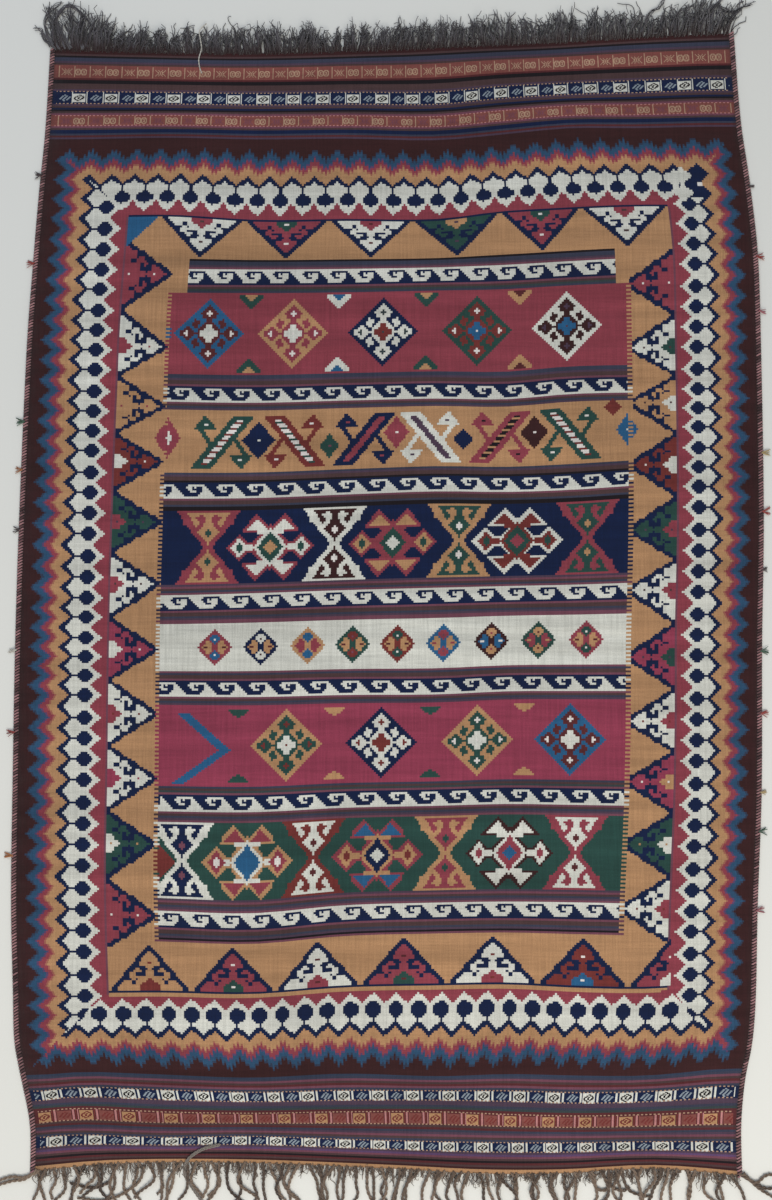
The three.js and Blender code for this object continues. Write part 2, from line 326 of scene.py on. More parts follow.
def layRow(row, middle, letters, stretch, horn, base, dot, stop=10000):
    for c, letter in enumerate(letters):
        yarn = {"i": horn, "c": base, "d": dot}.get(letter, letter)
        near, far = c * 2 * stretch, (c + 1) * 2 * stretch
        first, last = int(round(middle + near)), int(round(middle + far))
        canvas[row, min(first, stop):min(last, stop)] = number[yarn]
        canvas[row, int(round(middle - far)):int(round(middle - near))] = number[yarn]


# Field motifs, quarter charts from their middle cell
hookedDiamond = [
    "dCCCCiiiiiiddiiooo", "CCCCCiooiiidiiioo", "CCCiiioooiiiiooo", "CCiiioiiooiiooo", "CCiiooiiiooooo",
    "iiiooiiiioooo", "iioooiiioooo", "iioooooiooo", "iiiioooooo", "diiiooooo", "ddiiiooo", "diiiooo",
    "iiiooo",
    "iiooo", "iooo", "ooo", "oo", "o",
]
hourglass = [
    "oooooooooooooooo", "bbbbbbbbbbboooo", "bbboobbbbboooo", "bbooooobbooooo", "bboooobbboooo",
    "bbooobbbooooo",
    "bbboobbbooooo", "bbboooboooo", "bbbboooooo", "dbbbboooo", "ddbbbbooo", "ddbbbooo", "dbbbooo", "bbbooo",
    "bbooo", "booo", "booo", "ooo",
]
blossomDiamond = [
    "oosseesoo", "oossssoo", "aosssooo", "aaossoo", "daaooo", "aaaoo", "aaoo", "ooo", "oo", "o",
]
runningDog = [
    "...............", "..########.....", ".###.#...##....", "..##.....###...", "...###...####..",
    "........######.", ".......########", "###############",
]


def fieldWarp(cell):
    return weave["fieldLeft"] + cell * 2


def dogRow(first, upper, lower, start, period=15.0):
    for r, row in enumerate(runningDog):
        for warp in range(weave["fieldLeft"], weave["fieldRight"]):
            letter = row[int((warp - weave["fieldLeft"] - start) // 2 % period)]
            canvas[first + r, warp] = number[upper if letter == "." else lower]


def stripes(first, letters):
    for r, letter in enumerate(letters):
        band(first + r, first + r + 1, letter)


def hookedBar(middleRow, middleWarp, outline, core, lean, second=None):
    # A thick slanting bar with an arm each way that ends in a hooked head; lean 1 is /, -1 is a \
    high, half = 27, 13
    cells = {}

    def put(r, c, letter):  # a cell and the one it turns into half way round
        cells[(r, c)] = letter
        cells[(high - 1 - r, 28 - c)] = letter

    for r in range(high):
        left = 18.3 - 20 * r / 26
        for c in range(-3, 32):
            if left <= c < left + 10.6:
                cells[(r, c)] = outline
            if 2 <= r < 25 and left + 3.5 <= c < left + 7.1:
                cells[(r, c)] = second if second and r % 3 == 0 else core
    for r in range(7):
        share = (r + 0.6) / 6.2
        for c in range(int(5.2 - 4.6 * share), int(6.2 + 5.2 * share)):
            put(r, c, outline)
    for r in range(6, 16):
        for c in range(29):
            if abs(c - 1.9 - (r - 5) * 0.67) < 1.35:
                put(r, c, outline)
    put(4, 5, core if core != outline else "w")
    put(4, 6, core if core != outline else "w")
    for (r, c), letter in cells.items():
        right = (c - 14) * lean
        left = int(middleWarp + right * 2)
        canvas[middleRow - half + r, left:left + 2] = number[letter]


def diamond(middleRow, middleWarp, wide, high, letter, dot=None):
    aside = np.abs(warpPlace // 2 * 2 - middleWarp // 2 * 2)
    near = aside / (wide + 1.0) + np.abs(rowPlace - middleRow) / (high + 0.5)
    canvas[near < 1] = number[letter]
    if dot:
        canvas[middleRow, middleWarp - 1:middleWarp + 2] = number[dot]


def medallion(middleRow, middleWarp, tall, edge, line, ring, heart, wings, pips, pipDot):
    a = np.abs(warpPlace // 2 * 2 - middleWarp // 2 * 2) / 2
    b = np.abs(rowPlace - middleRow) / tall
    comb = (rowPlace + warpPlace // 2) % 2 * 0.9  # the toothed edge of one pick and the next

    def fill(mask, letter):
        canvas[mask] = number[letter]

    fill((b >= 7.4) & (np.abs(a - 6.4) <= 7.2 * (15.8 - b) / 7.4 + comb), edge)
    fill(a / 10.6 + b / 11 <= 1 + comb * 0.06, edge)
    fill(np.abs(a - 15.2) / 6.2 + b / 6.4 <= 1 + comb * 0.12, edge)
    fill((b < 2.4) & (a > 8) & (a < 13), edge)
    fill((b >= 8.6) & (np.abs(a - 6.4) <= 5.6 * (14.2 - b) / 5.6), wings)
    fill(a / 8.8 + b / 9.5 <= 1, line)
    fill((b >= 7) & (b < 8.8) & (a > 1) & (a < 6.4), line)
    fill(a / 6.7 + b / 7.6 <= 1, ring)
    fill(a / 3 + b / 3.4 <= 1, heart)
    fill((b < 1.2) & (a > 8) & (a < 13), line)
    fill(np.abs(a - 15.2) / 4.2 + b / 5.2 <= 1, pips)
    fill((b < 1.2) & (np.abs(a - 15.2) < 1.4), pipDot)
    fill((b < 2.2) & (np.abs(a - 15.2) < 0.6), pipDot)


def layField():
    band(110, 448, "g")
    stripes(110, "dsspm")
    dogRow(115, "i", "n", 12, 14.3)
    stripes(123, "muysm")
    band(127, 168, "r")
    for cell, o, i, c, d in ((19, "b", "v", "i", "w"), (61, "g", "r", "i", "w"), (106, "n", "i", "o", "y"),
                             (153, "e", "o", "b", "w"), (198, "i", "k", "b", "p")):
        chart(hookedDiamond, 147, fieldWarp(cell), o=o, i=i, C=c, d=d)
    for cell, a, d in ((40, "e", "g"), (84, "i", "b"), (128, "e", "g"), (175, "g", "v")):
        for r, wide in enumerate((6, 6, 5, 4, 3, 2, 1)):
            for row in (128 + r, 166 - r):
                middle = fieldWarp(cell)
                canvas[row, middle - wide * 2:middle + wide * 2] = number[a]
                if r < 3:
                    canvas[row, middle - (6 - 2 * r):middle + (6 - 2 * r)] = number[d]
    stripes(168, "sspuum")
    dogRow(174, "n", "i", 4)
    stripes(182, "muspi")
    band(186, 218, "g")
    for cell, outline, core, second, lean in ((28, "e", "w", "o", 1), (63, "o", "w", "e", -1),
                                              (98, "n", "r", None, 1), (130, "i", "p", None, -1),
                                              (165, "r", "d", "g", 1), (199, "e", "w", "o", -1)):
        hookedBar(202, fieldWarp(cell), outline, core, lean, second)
    diamond(200, fieldWarp(1), 12, 10, "r")
    band(199, 202, "i", fieldWarp(0), fieldWarp(3))
    band(197, 204, "i", fieldWarp(1), fieldWarp(2))
    diamond(201, fieldWarp(46), 16, 9, "n", "i")
    diamond(205, fieldWarp(81), 9, 6, "e", "m")
    diamond(199, fieldWarp(114), 12, 8, "r", "w")
    diamond(203, fieldWarp(147), 9, 5, "n")
    diamond(200, fieldWarp(182), 13, 8, "k", "w")
    diamond(189, fieldWarp(221), 8, 4, "o")
    diamond(201, fieldWarp(228), 10, 8, "b", "i")
    stripes(218, "spuud")
    dogRow(223, "n", "i", 20)
    stripes(231, "muusdd")
    band(237, 273, "n")
    for cell, o, b, d in ((22, "r", "g", "e"), (84, "i", "k", "w"), (145, "g", "e", "w"),
                          (208, "r", "e", "g")):
        layHourglass(237, 36, fieldWarp(cell), o, b, d)
    medallion(255, fieldWarp(53), 1.0, "r", "i", "e", "g", "i", "i", "e")
    medallion(255, fieldWarp(113), 1.0, "r", "r", "e", "i", "g", "g", "e")
    medallion(255, fieldWarp(174), 1.0, "i", "o", "e", "r", "o", "o", "e")
    stripes(273, "pmusm")
    dogRow(278, "i", "n", 8)
    stripes(286, "muuspmm")
    band(293, 318, "i")
    for cell, o, a, s, d, e in ((26.5, "r", "b", "g", "w", "v"), (49, "n", "i", "g", "u", "v"),
                                (72, "g", "b", "r", "b", "r"), (94, "e", "o", "g", "m", "v"),
                                (116, "o", "e", "g", "w", "v"), (138.5, "b", "r", "g", "m", "r"),
                                (162, "k", "g", "b", "r", "w"), (185, "e", "g", "r", "v", "g"),
                                (208.5, "r", "e", "g", "w", "v")):
        chart(blossomDiamond, 305, weave["fieldLeft"] + int(cell * 2), o=o, a=a, s=s, d=d, e=e)
    stripes(318, "msuum")
    dogRow(323, "n", "i", 26)
    stripes(331, "musp")
    band(335, 374, "c")
    for r in range(34):  # blue chevron
        share = r / 17 if r < 17 else (34 - r) / 17
        middle = 12 + 20 * share - (4 if r > 17 else 0) * (r - 17) / 17
        band(339 + r, 340 + r, "b", fieldWarp(0) + int(middle * 2) - 5, fieldWarp(0) + int(middle * 2) + 7)
    for cell, o, i, c, d in ((62, "g", "e", "i", "o"), (108.5, "n", "i", "o", "o"),
                             (155.5, "g", "e", "i", "w"), (201, "b", "v", "i", "w")):
        chart(hookedDiamond, 354, weave["fieldLeft"] + int(cell * 2), o=o, i=i, C=c, d=d)
    for cell, a in ((39, "e"), (86, "g"), (133, "e"), (179, "g")):
        for r, wide in enumerate((5, 4, 3, 1)):
            middle = fieldWarp(cell)
            for row in (337 + r, 371 - r):
                canvas[row, middle - wide * 2:middle + wide * 2] = number[a]
    stripes(374, "suym")
    dogRow(378, "n", "i", 14)
    stripes(386, "muspm")
    band(391, 427, "e")
    for r in range(18):
        half = min(r, 17 - r)
        band(401 + r, 402 + r, "o", fieldWarp(0), fieldWarp(0) + 2 + int(half * 1.9))
    for cell, o, b, d in ((11.8, "i", "n", "m"), (76, "o", "i", "v"), (141, "g", "r", "e"),
                          (205, "r", "i", "v")):
        layHourglass(391, 36, weave["fieldLeft"] + int(cell * 2), o, b, d)
    medallion(409, fieldWarp(44), 1.1, "g", "i", "b", "b", "r", "r", "w")
    medallion(409, fieldWarp(108), 1.1, "r", "g", "n", "i", "b", "g", "o")
    medallion(409, fieldWarp(173), 1.1, "k", "i", "r", "b", "i", "i", "r")
    stripes(427, "pmuspm")
    dogRow(433, "i", "n", 2)
    stripes(441, "muuspdm")
    # Comb edges where the field meets the gold
    for r in range(127, weave["fieldBottom"]):
        left, right = weave["fieldLeft"], weave["fieldRight"]
        if r % 2:
            canvas[r, left - 4:left + 2] = canvas[r, left + 8]
        canvas[r, right - 2:right + 3] = canvas[r, right - 8] if r % 2 else number["g"]
    for first, last in ((141, 156), (588, 601)):  # the first stripes stop short at both ends
        canvas[weave["fieldTop"]:127, first:last] = number["g"]


def layHourglass(first, high, middleWarp, outline, body, dot):
    for r, row in enumerate(hourglass):
        for c, letter in enumerate(row):
            yarn = {"o": outline, "b": body, "d": dot}[letter]
            for line in (first + r, first + high - 1 - r):
                for start in (middleWarp + c * 2, middleWarp - c * 2):
                    start = max(start, weave["fieldLeft"])
                    canvas[line, start:start + 2] = number[yarn]


def laySkirts():
    # Stripe rows from the top edge down and from the bottom border down; the brocade lies over them
    top = ("kkudsspu" "fffffff" "v" "ddu" "uup" "nnnnnnn" "pu" "nd" "um" "ffffff" "m" "unnsvp" "k")
    for r, letter in enumerate(top):
        band(r, r + 1, letter, 0, weave["warps"])
    bottom = ("kk" "zs" "m" "uv" "m" "s" "nnnnn" "ppsyv" "vvvvvv" "uvspmus" "nnnnn" "pqmudvuk" "gg")
    for r, letter in enumerate(bottom):
        row = 513 + r
        if row < weave["rows"]:
            band(row, row + 1, letter, 0, weave["warps"])


weaveBorders()
layTriangles()
layField()
laySkirts()
print("pattern charted")


# Brocade over six bands of the skirts, charted in rows half as high
brocadeRows = [(8, 15), (22, 29), (35, 41), (522, 527), (532, 538), (545, 550)]
rowLines = []
for r in range(weave["rows"]):
    rowLines += [r, r + 0.5] if any(first <= r < last for first, last in brocadeRows) else [r]
fabricGrid = canvas[np.array(rowLines).astype(int)]
rowLines = np.array(rowLines + [weave["rows"]], float)
twinLoops = [
    ".tttt..tttt..", "tt..tttt..tt.", "t.tt.tt.tt.t.", "t.t..tt..t.t.", "t.tt.tt.tt.t.", "tt..tttt..tt.",
    ".tttt..tttt..",
]
faintStar = ["f..f...f..f", ".f..f.f..f.", "..ff.f.ff..", "...f.f.f...", "..ff.f.ff..", ".f..f.f..f.",
             "f..f...f..f"]
lozengeBlock = [
    "aaaaaaaaaaaaa", "aaaaaabbbaaaa", "aaaabbaabbbaa", "aabbbabbaabba", "abbaabbaabbba",
    "abbaabbabbbaa", "aabbbaabbaaaa", "aaaabbbaaaaaa", "aaaaaaaaaaaaa",
]
slantStrokes = [
    "aaaaaaaaaaaaa", "aaaaaabbaaaaa", "aaaabbaabbaaa", "aaabbaabbaabb", "aabbaabbaabba",
    "abbaabbaabbaa", "aaaabbaabbaaa", "aaaaabbaaaaaa", "aaaaaaaaaaaaa",
]


def layBrocade(place, ground, blocks, bars, period, start, dots):
    first = int(np.searchsorted(rowLines, place[0]))
    high = (place[1] - place[0]) * 2
    for warp in range(5, weave["warps"] - 4):
        column = int((warp - start) % period)
        fabricGrid[first:first + high, warp] = number[ground]
        for offset, wide, letter in bars:
            if offset <= column < offset + wide:
                fabricGrid[first + 1:first + high - 1, warp] = number[letter]
        for offset, rows, dyes in blocks:
            if offset <= column < offset + len(rows[0]):
                top = first + (high - len(rows) + 1) // 2
                for r, row in enumerate(rows):
                    letter = dyes.get(row[column - offset], row[column - offset])
                    if letter != ".":
                        fabricGrid[top + r, warp] = number[letter]
        if dots and warp % 4 < 2:
            fabricGrid[first, warp] = number[dots]
            fabricGrid[first + high - 1, warp] = number[dots]


def layBrocades():
    tanBars = [(15, 1, "t"), (31, 1, "t")]
    ivoryBlock = (0, lozengeBlock, {"a": "i", "b": "d"})
    layBrocade(brocadeRows[0], "f", [(0, twinLoops, {}), (18, faintStar, {"f": "t"})],
               tanBars, 32.5, 23, None)
    layBrocade(brocadeRows[1], "n", [ivoryBlock, (17, slantStrokes, {"a": ".", "b": "l"})],
               [(14, 1, "i"), (31, 1, "i")], 32.5, 22, "t")
    layBrocade(brocadeRows[2], "f", [(0, twinLoops, {}), (18, faintStar, {"f": "m"})],
               tanBars, 31.8, 24, "h")
    layBrocade(brocadeRows[3], "n", [ivoryBlock, (19, slantStrokes, {"a": ".", "b": "l"})],
               [(15, 2, "i"), (34, 2, "i")], 37.4, 15, "t")
    layBrocade(brocadeRows[4], "v",
               [(0, lozengeBlock, {"a": "g", "b": "o"}), (20, slantStrokes, {"a": "f", "b": "o"})],
               [(14, 1, "o"), (16, 2, "h"), (19, 1, "f"), (34, 2, "h"), (37, 1, "o"), (39, 1, "h")],
               40.7, 4, "t")
    layBrocade(brocadeRows[5], "n", [ivoryBlock, (19, slantStrokes, {"a": ".", "b": "l"})],
               [(15, 2, "i"), (34, 2, "i")], 37.4, 14, "t")


layBrocades()
print("brocade charted")


# Where a row and a warp lie
stations = (-700, -500, -300, -100, 100, 250, 400, 550, 700)
# How far some rows stray at the stations across, mm up the kilim. A scratch program found most of
# these shifts in the photo, and a few that it missed were set by eye
rowWaves = {
    25: (0, -2, -4, -2, -2, 12, 20, 25, 31), 50: (2, 6, 2, 4, 0, 13, 28, 28, 31),
    90: (4, 8, -4, -2, -2, 16, 24, 30, 30), 118: (-2, -4, -4, -2, 2, 6, 14, 20, 24),
    178: (-4, -8, -11, -6, -2, -4, 9, 12, 14), 227: (-6, -9, -8, 0, 7, 5, 10, 20, 20),
    282: (-16, -18, -13, -6, -1, 3, 6, 10, 10), 326: (-4, -5, -6, -2, -1, 6, 7, 7, 6),
    382: (-8, -11, -13, -4, 0, 4, 2, 0, 0), 437: (-12, -18, -24, -6, 0, 2, 0, -3, -4),
    474: (-17, -15, -18, -4, 0, 2, -5, -6, 5), 514: (6, -2, -9, 0, -6, -1, -4, -4, 11),
    524: (6, -2, -7, -4, -4, -5, -9, -6, 4), 533: (7, -4, -7, -4, -4, -10, -13, -10, -4),
    545: (8, 0, 2, -4, -9, -11, -11, -9, -9),
}


def rowWave(row, x):  # smooth across, straight between one measured row and the next
    top = along(endWaves, x, 1) + 12
    bottom = along(endWaves, x, 2) + 6
    lines = [(0, top)] + [(r, along(list(zip(stations, v)), x, 1)) for r, v in rowWaves.items()]
    lines.append((weave["rows"], bottom))
    wave = np.zeros(np.shape(x))
    for (first, a), (last, b) in zip(lines, lines[1:]):
        share = (row - first) / (last - first)
        inside = (share >= 0) & (share <= 1)
        wave = np.where(inside, a + (b - a) * share, wave)
    droop = np.clip((row - 480) / 40, 0, 1) * np.clip((weave["rows"] - row) / 20, 0, 1)
    return wave - 11 * droop * np.clip((-620 - x) / 130, 0, 1) ** 1.5


def acrossAt(straight, warp):  # borders keep their width, the field takes the rest
    left = along(sideEdges, straight, 1) + cloth["inset"]
    right = along(sideEdges, straight, 2) - cloth["inset"]
    keys = np.array([0, weave["fieldLeft"], weave["fieldRight"], weave["warps"]])
    inLeft = left + warp / keys[1] * weave["leftBorder"]
    inRight = right - (keys[3] - warp) / (keys[3] - keys[2]) * weave["rightBorder"]
    a, b = left + weave["leftBorder"], right - weave["rightBorder"]
    inField = a + (b - a) * (warp - keys[1]) / (keys[2] - keys[1])
    return np.where(warp <= keys[1], inLeft, np.where(warp >= keys[2], inRight, inField))


def clothPoint(row, warp, above):  # kilim mm of a row line and a warp line
    straight = cloth["length"] * (0.5 - row / weave["rows"])
    x = acrossAt(straight, warp)
    y = straight - 12 + 0.0107 * row + rowWave(row, x)
    wave = np.where(y > 0, along(endWaves, x, 1), along(endWaves, x, 2))
    x = acrossAt(y - wave * np.abs(2 * y / cloth["length"]) ** 3, warp)
    return x, y, liftAt(x, y) + above


def weaveSheet(name, grid, rowLines, top, under, coarse, uvFace, uvBack):
    # A closed sheet: its face has one polygon for each run of one yarn, its back is coarser
    rows, warps = grid.shape
    breaks = np.zeros((rows, warps + 1), bool)
    breaks[:, 1:-1] = grid[:, 1:] != grid[:, :-1]
    breaks[:, ::24] = True
    breaks[:, [0, -1]] = True
    lines = np.zeros((rows + 1, warps + 1), bool)
    lines[:-1] |= breaks
    lines[1:] |= breaks
    downStep, acrossStep = coarse
    block = grid[downStep // 2::downStep, acrossStep // 2::acrossStep]
    backRows = list(range(0, rows, downStep)) + [rows]
    backBreaks = np.zeros((len(backRows) - 1, warps + 1), bool)
    for g in range(len(backRows) - 1):
        line = block[min(g, len(block) - 1)]
        for c in range(1, len(line)):
            backBreaks[g, c * acrossStep] = line[c] != line[c - 1] or c % 3 == 0
        backBreaks[g, [0, -1]] = True
    backLines = np.zeros_like(lines)
    for g in range(len(backRows) - 1):
        backLines[backRows[g]] |= backBreaks[g]
        backLines[backRows[g + 1]] |= backBreaks[g]
    backLines[:, [0, -1]] = True
    backLines[0] |= lines[0]
    backLines[-1] |= lines[-1]
    extra = backLines[[0, -1]] & ~lines[[0, -1]]
    lines[0] |= extra[0]
    lines[-1] |= extra[1]
    face, back = -np.ones(lines.shape, int), -np.ones(lines.shape, int)
    face[lines] = np.arange(lines.sum())
    back[backLines] = lines.sum() + np.arange(backLines.sum())
    places = []
    for mask, above in ((lines, top), (backLines, under)):
        r, w = np.nonzero(mask)
        places.append(toFrame(*clothPoint(rowLines[r], w.astype(float), above)))
    polygons, yarn, part = [], [], []

    def inside(index, row, a, b):
        found = index[row, a:b + 1]
        return found[found >= 0].tolist()

    for r in range(rows):
        cuts = np.flatnonzero(breaks[r])
        for a, b in zip(cuts, cuts[1:]):
            polygons.append(inside(face, r + 1, a, b) + inside(face, r, a, b)[::-1])
            yarn.append(grid[r, a])
            part.append(0)
    for g in range(len(backRows) - 1):
        cuts = np.flatnonzero(backBreaks[g])
        first, last = backRows[g], backRows[g + 1]
        for a, b in zip(cuts, cuts[1:]):
            loop = inside(back, first, a, b)
            if b == warps:
                loop += [back[r, b] for r in range(first + 1, last)]
            loop += inside(back, last, a, b)[::-1]
            if a == 0:
                loop += [back[r, 0] for r in range(last - 1, first, -1)]
            polygons.append(loop)
            yarn.append(block[min(g, len(block) - 1), min(a // acrossStep, block.shape[1] - 1)])
            part.append(1)
    for w in (0, warps):
        for r in range(rows):
            quad = [face[r, w], face[r + 1, w], back[r + 1, w], back[r, w]]
            polygons.append(quad[::-1] if w == 0 else quad)
            yarn.append(grid[r, min(w, warps - 1)])
            part.append(2)
    for r in (0, rows):
        cuts = np.flatnonzero(lines[r])
        for a, b in zip(cuts, cuts[1:]):
            quad = [face[r, a], face[r, b], back[r, b], back[r, a]]
            polygons.append(quad[::-1] if r == 0 else quad)
            yarn.append(grid[min(r, rows - 1), a])
            part.append(2)
    mesh = bpy.data.meshes.new(name)
    mesh.from_pydata(np.concatenate(places).tolist(), [], [[int(v) for v in p] for p in polygons])
    part = np.array(part)
    counts = np.array([len(p) for p in polygons])
    colour = mesh.color_attributes.new("yarnColour", "FLOAT_COLOR", "CORNER")
    colour.data.foreach_set("color", np.repeat(palette[np.array(yarn)], counts,
                                               axis=0).astype(np.float32).ravel())
    # The face fills most of the map, and the back and rim a narrow strip beside it
    layer = mesh.uv_layers.new(name="OFBake")
    corner = np.array([v for p in polygons for v in p])
    rowShare = rowLines[np.concatenate([np.nonzero(lines)[0], np.nonzero(backLines)[0]])] / rowLines[-1]
    warpShare = np.concatenate([np.nonzero(lines)[1], np.nonzero(backLines)[1]]) / warps
    island = np.where(np.repeat(part, counts) == 0, 0, 1)
    low = np.where(island == 0, uvFace[0], uvBack[0])
    wide = np.where(island == 0, uvFace[1] - uvFace[0], uvBack[1] - uvBack[0])
    uv = np.stack([low + wide * warpShare[corner], 0.002 + 0.996 * (1 - rowShare[corner])], axis=1)
    rim = np.repeat(part, counts) == 2
    uv[rim, 0] = uvBack[1] + 0.006
    layer.data.foreach_set("uv", uv.astype(np.float32).ravel())
    mesh.shade_smooth()
    flat = mesh.attributes.get("sharp_face") or mesh.attributes.new("sharp_face", "BOOLEAN", "FACE")
    flat.data.foreach_set("value", part == 2)
    mesh.update()
    made = bpy.data.objects.new(name, mesh)
    bpy.context.scene.collection.objects.link(made)
    triangles = sum(len(p) - 2 for p in polygons)
    print(name, len(polygons), "faces", triangles, "triangles")
    return made


# Wool materials
def fabric(name, rough=0.92, sheen=0.25):
    made = bpy.data.materials.new(name)
    made.use_nodes = True
    tree = made.node_tree
    tree.nodes.clear()
    out = node(tree, "ShaderNodeOutputMaterial")
    shader = node(tree, "ShaderNodeBsdfPrincipled", None, Roughness=rough, Sheen_Weight=sheen,
                  Sheen_Roughness=0.55, IOR=1.5, Specular_IOR_Level=0.2)
    tree.links.new(shader.outputs[0], out.inputs[0])
    return made, tree, shader


def mapped(tree, scale):  # object places stretched by a scale, in repeats a metre
    place = node(tree, "ShaderNodeTexCoord")
    return node(tree, "ShaderNodeMapping", None, Vector=place.outputs["Object"], Scale=scale).outputs[0]


def tinted(tree, colour, shade, dark, light):  # colour times a grey that follows shade
    tone = node(tree, "ShaderNodeMapRange", None, Value=shade, To_Min=dark, To_Max=light).outputs[0]
    mix = node(tree, "ShaderNodeMix", {"data_type": "RGBA", "blend_type": "MULTIPLY"}, i0=1.0, i6=colour,
               i7=tone)
    return mix.outputs[2]


slitTapestry = {"ribs": 2.7646, "bump": 0.5}  # mm from one rib to the next


def fineNoise(tree, scale, detail):  # a noise stretched by a scale, in repeats a metre
    return node(tree, "ShaderNodeTexNoise", None, Vector=mapped(tree, scale), Scale=1.0, Detail=detail,
                Roughness=0.6).outputs[0]


def slitTapestryWool():
    # Weft-faced wool: dyed yarns packed over ribs of warp, matt, with dye lots that drift along the rows
    made, tree, shader = fabric("slitTapestryWool", 0.9, 0.06)
    yarn = node(tree, "ShaderNodeAttribute", {"attribute_name": "yarnColour"}).outputs["Color"]
    dyeLots = fineNoise(tree, (1.6, 26, 1), 3.0)
    rows = fineNoise(tree, (14, 210, 1), 2.0)
    warps = fineNoise(tree, (240, 9, 1), 2.0)
    specks = fineNoise(tree, (520, 520, 1), 1.0)
    worn = fineNoise(tree, (3.1, 2.3, 1), 2.0)
    colour = tinted(tree, yarn, dyeLots, 0.6, 1.4)
    colour = tinted(tree, colour, rows, 0.8, 1.18)
    colour = tinted(tree, colour, warps, 0.72, 1.26)
    colour = tinted(tree, colour, specks, 0.68, 1.3)
    colour = tinted(tree, colour, worn, 0.8, 1.2)
    tree.links.new(colour, shader.inputs["Base Color"])
    # A rib every 2.8 mm, a little wider than real so that they show
    ribs = node(tree, "ShaderNodeTexWave", {"bands_direction": "X"}, Vector=mapped(tree, (1, 1, 1)),
                Scale=100 * math.pi / slitTapestry["ribs"], Distortion=0.6, Detail=1.0,
                Detail_Scale=4.0).outputs["Fac"]
    relief = node(tree, "ShaderNodeMath", {"operation": "ADD"}, i0=ribs, i1=specks).outputs[0]
    relief = node(tree, "ShaderNodeMath", {"operation": "ADD"}, i0=relief, i1=rows).outputs[0]
    # Low puckers that run with the rows, softer than the ribs
    puckers = fineNoise(tree, (2.6, 17, 1), 1.5)
    soft = node(tree, "ShaderNodeBump", None, Strength=0.55, Distance=0.02, Height=puckers).outputs[0]
    bump = node(tree, "ShaderNodeBump", None, Strength=slitTapestry["bump"], Distance=0.0008,
                Height=relief, Normal=soft)
    tree.links.new(bump.outputs[0], shader.inputs["Normal"])
    return made


def yarnWool(name, dark, light, root=None):
    # Loose wool yarn: tones that change from strand to strand, fine fibres along it, matt and soft
    made, tree, shader = fabric(name, 0.95, 0.3)
    which = node(tree, "ShaderNodeAttribute", {"attribute_name": "strandId"}).outputs["Fac"]
    chance = node(tree, "ShaderNodeTexWhiteNoise", {"noise_dimensions": "1D"}, W=which).outputs["Value"]
    fibres = node(tree, "ShaderNodeTexNoise", None, Vector=mapped(tree, (700, 700, 700)), Scale=1.0,
                  Detail=3.0).outputs[0]
    colour = node(tree, "ShaderNodeMix", {"data_type": "RGBA"}, i0=chance, i6=linear(dark),
                  i7=linear(light)).outputs[2]
    if root:
        share = node(tree, "ShaderNodeAttribute", {"attribute_name": "alongStrand"}).outputs["Fac"]
        near = node(tree, "ShaderNodeMapRange", None, Value=share, From_Min=0.05, From_Max=0.4).outputs[0]
        colour = node(tree, "ShaderNodeMix", {"data_type": "RGBA"}, i0=near, i6=linear(root),
                      i7=colour).outputs[2]
    tree.links.new(tinted(tree, colour, fibres, 0.55, 1.45), shader.inputs["Base Color"])
    bump = node(tree, "ShaderNodeBump", None, Strength=0.6, Distance=0.0006, Height=fibres)
    tree.links.new(bump.outputs[0], shader.inputs["Normal"])
    return made


def overcastWool():
    # Rose wool wound round a dark core: each turn takes its own tone, and the core between the turns is
    # near black, dark warp colour with painted shade of the gaps
    made, tree, shader = fabric("overcastWool", 0.93, 0.25)
    which = node(tree, "ShaderNodeAttribute", {"attribute_name": "strandId"}).outputs["Fac"]
    chance = node(tree, "ShaderNodeTexWhiteNoise", {"noise_dimensions": "1D"}, W=which).outputs["Value"]
    worn = node(tree, "ShaderNodeTexNoise", None, Vector=mapped(tree, (1, 9, 1)), Scale=1.0,
                Detail=2.0).outputs[0]
    mixed = node(tree, "ShaderNodeMath", {"operation": "MULTIPLY_ADD"}, i0=chance, i1=0.7,
                 i2=worn).outputs[0]
    dark = node(tree, "ShaderNodeMapRange", None, Value=mixed, From_Min=0.45, From_Max=1.1).outputs[0]
    turn = node(tree, "ShaderNodeMix", {"data_type": "RGBA"}, i0=dark, i6=linear("#3a2226"),
                i7=linear("#a97c80")).outputs[2]
    isTurn = node(tree, "ShaderNodeMath", {"operation": "GREATER_THAN"}, i0=which, i1=-0.5).outputs[0]
    # The near-black core is dark warp colour with painted shade between the turns
    colour = node(tree, "ShaderNodeMix", {"data_type": "RGBA"}, i0=isTurn, i6=linear("#1d1113"),
                  i7=turn).outputs[2]
    fibres = node(tree, "ShaderNodeTexNoise", None, Vector=mapped(tree, (700, 700, 700)), Scale=1.0,
                  Detail=3.0).outputs[0]
    tree.links.new(tinted(tree, colour, fibres, 0.65, 1.35), shader.inputs["Base Color"])
    bump = node(tree, "ShaderNodeBump", None, Strength=0.5, Distance=0.0006, Height=fibres)
    tree.links.new(bump.outputs[0], shader.inputs["Normal"])
    return made


# Geometry nodes for yarn
def newTree(name, inputs):  # a tree with named inputs, None for a material
    tree = bpy.data.node_groups.new(name, "GeometryNodeTree")
    tree.interface.new_socket("Geometry", in_out="INPUT", socket_type="NodeSocketGeometry")
    for label, value in inputs.items():
        kind = "Material" if value is None else "Int" if isinstance(value, int) else "Float"
        socket = tree.interface.new_socket(label, in_out="INPUT", socket_type="NodeSocket" + kind)
        if value is not None:
            socket.default_value = value
    tree.interface.new_socket("Geometry", in_out="OUTPUT", socket_type="NodeSocketGeometry")
    return tree, node(tree, "NodeGroupInput").outputs


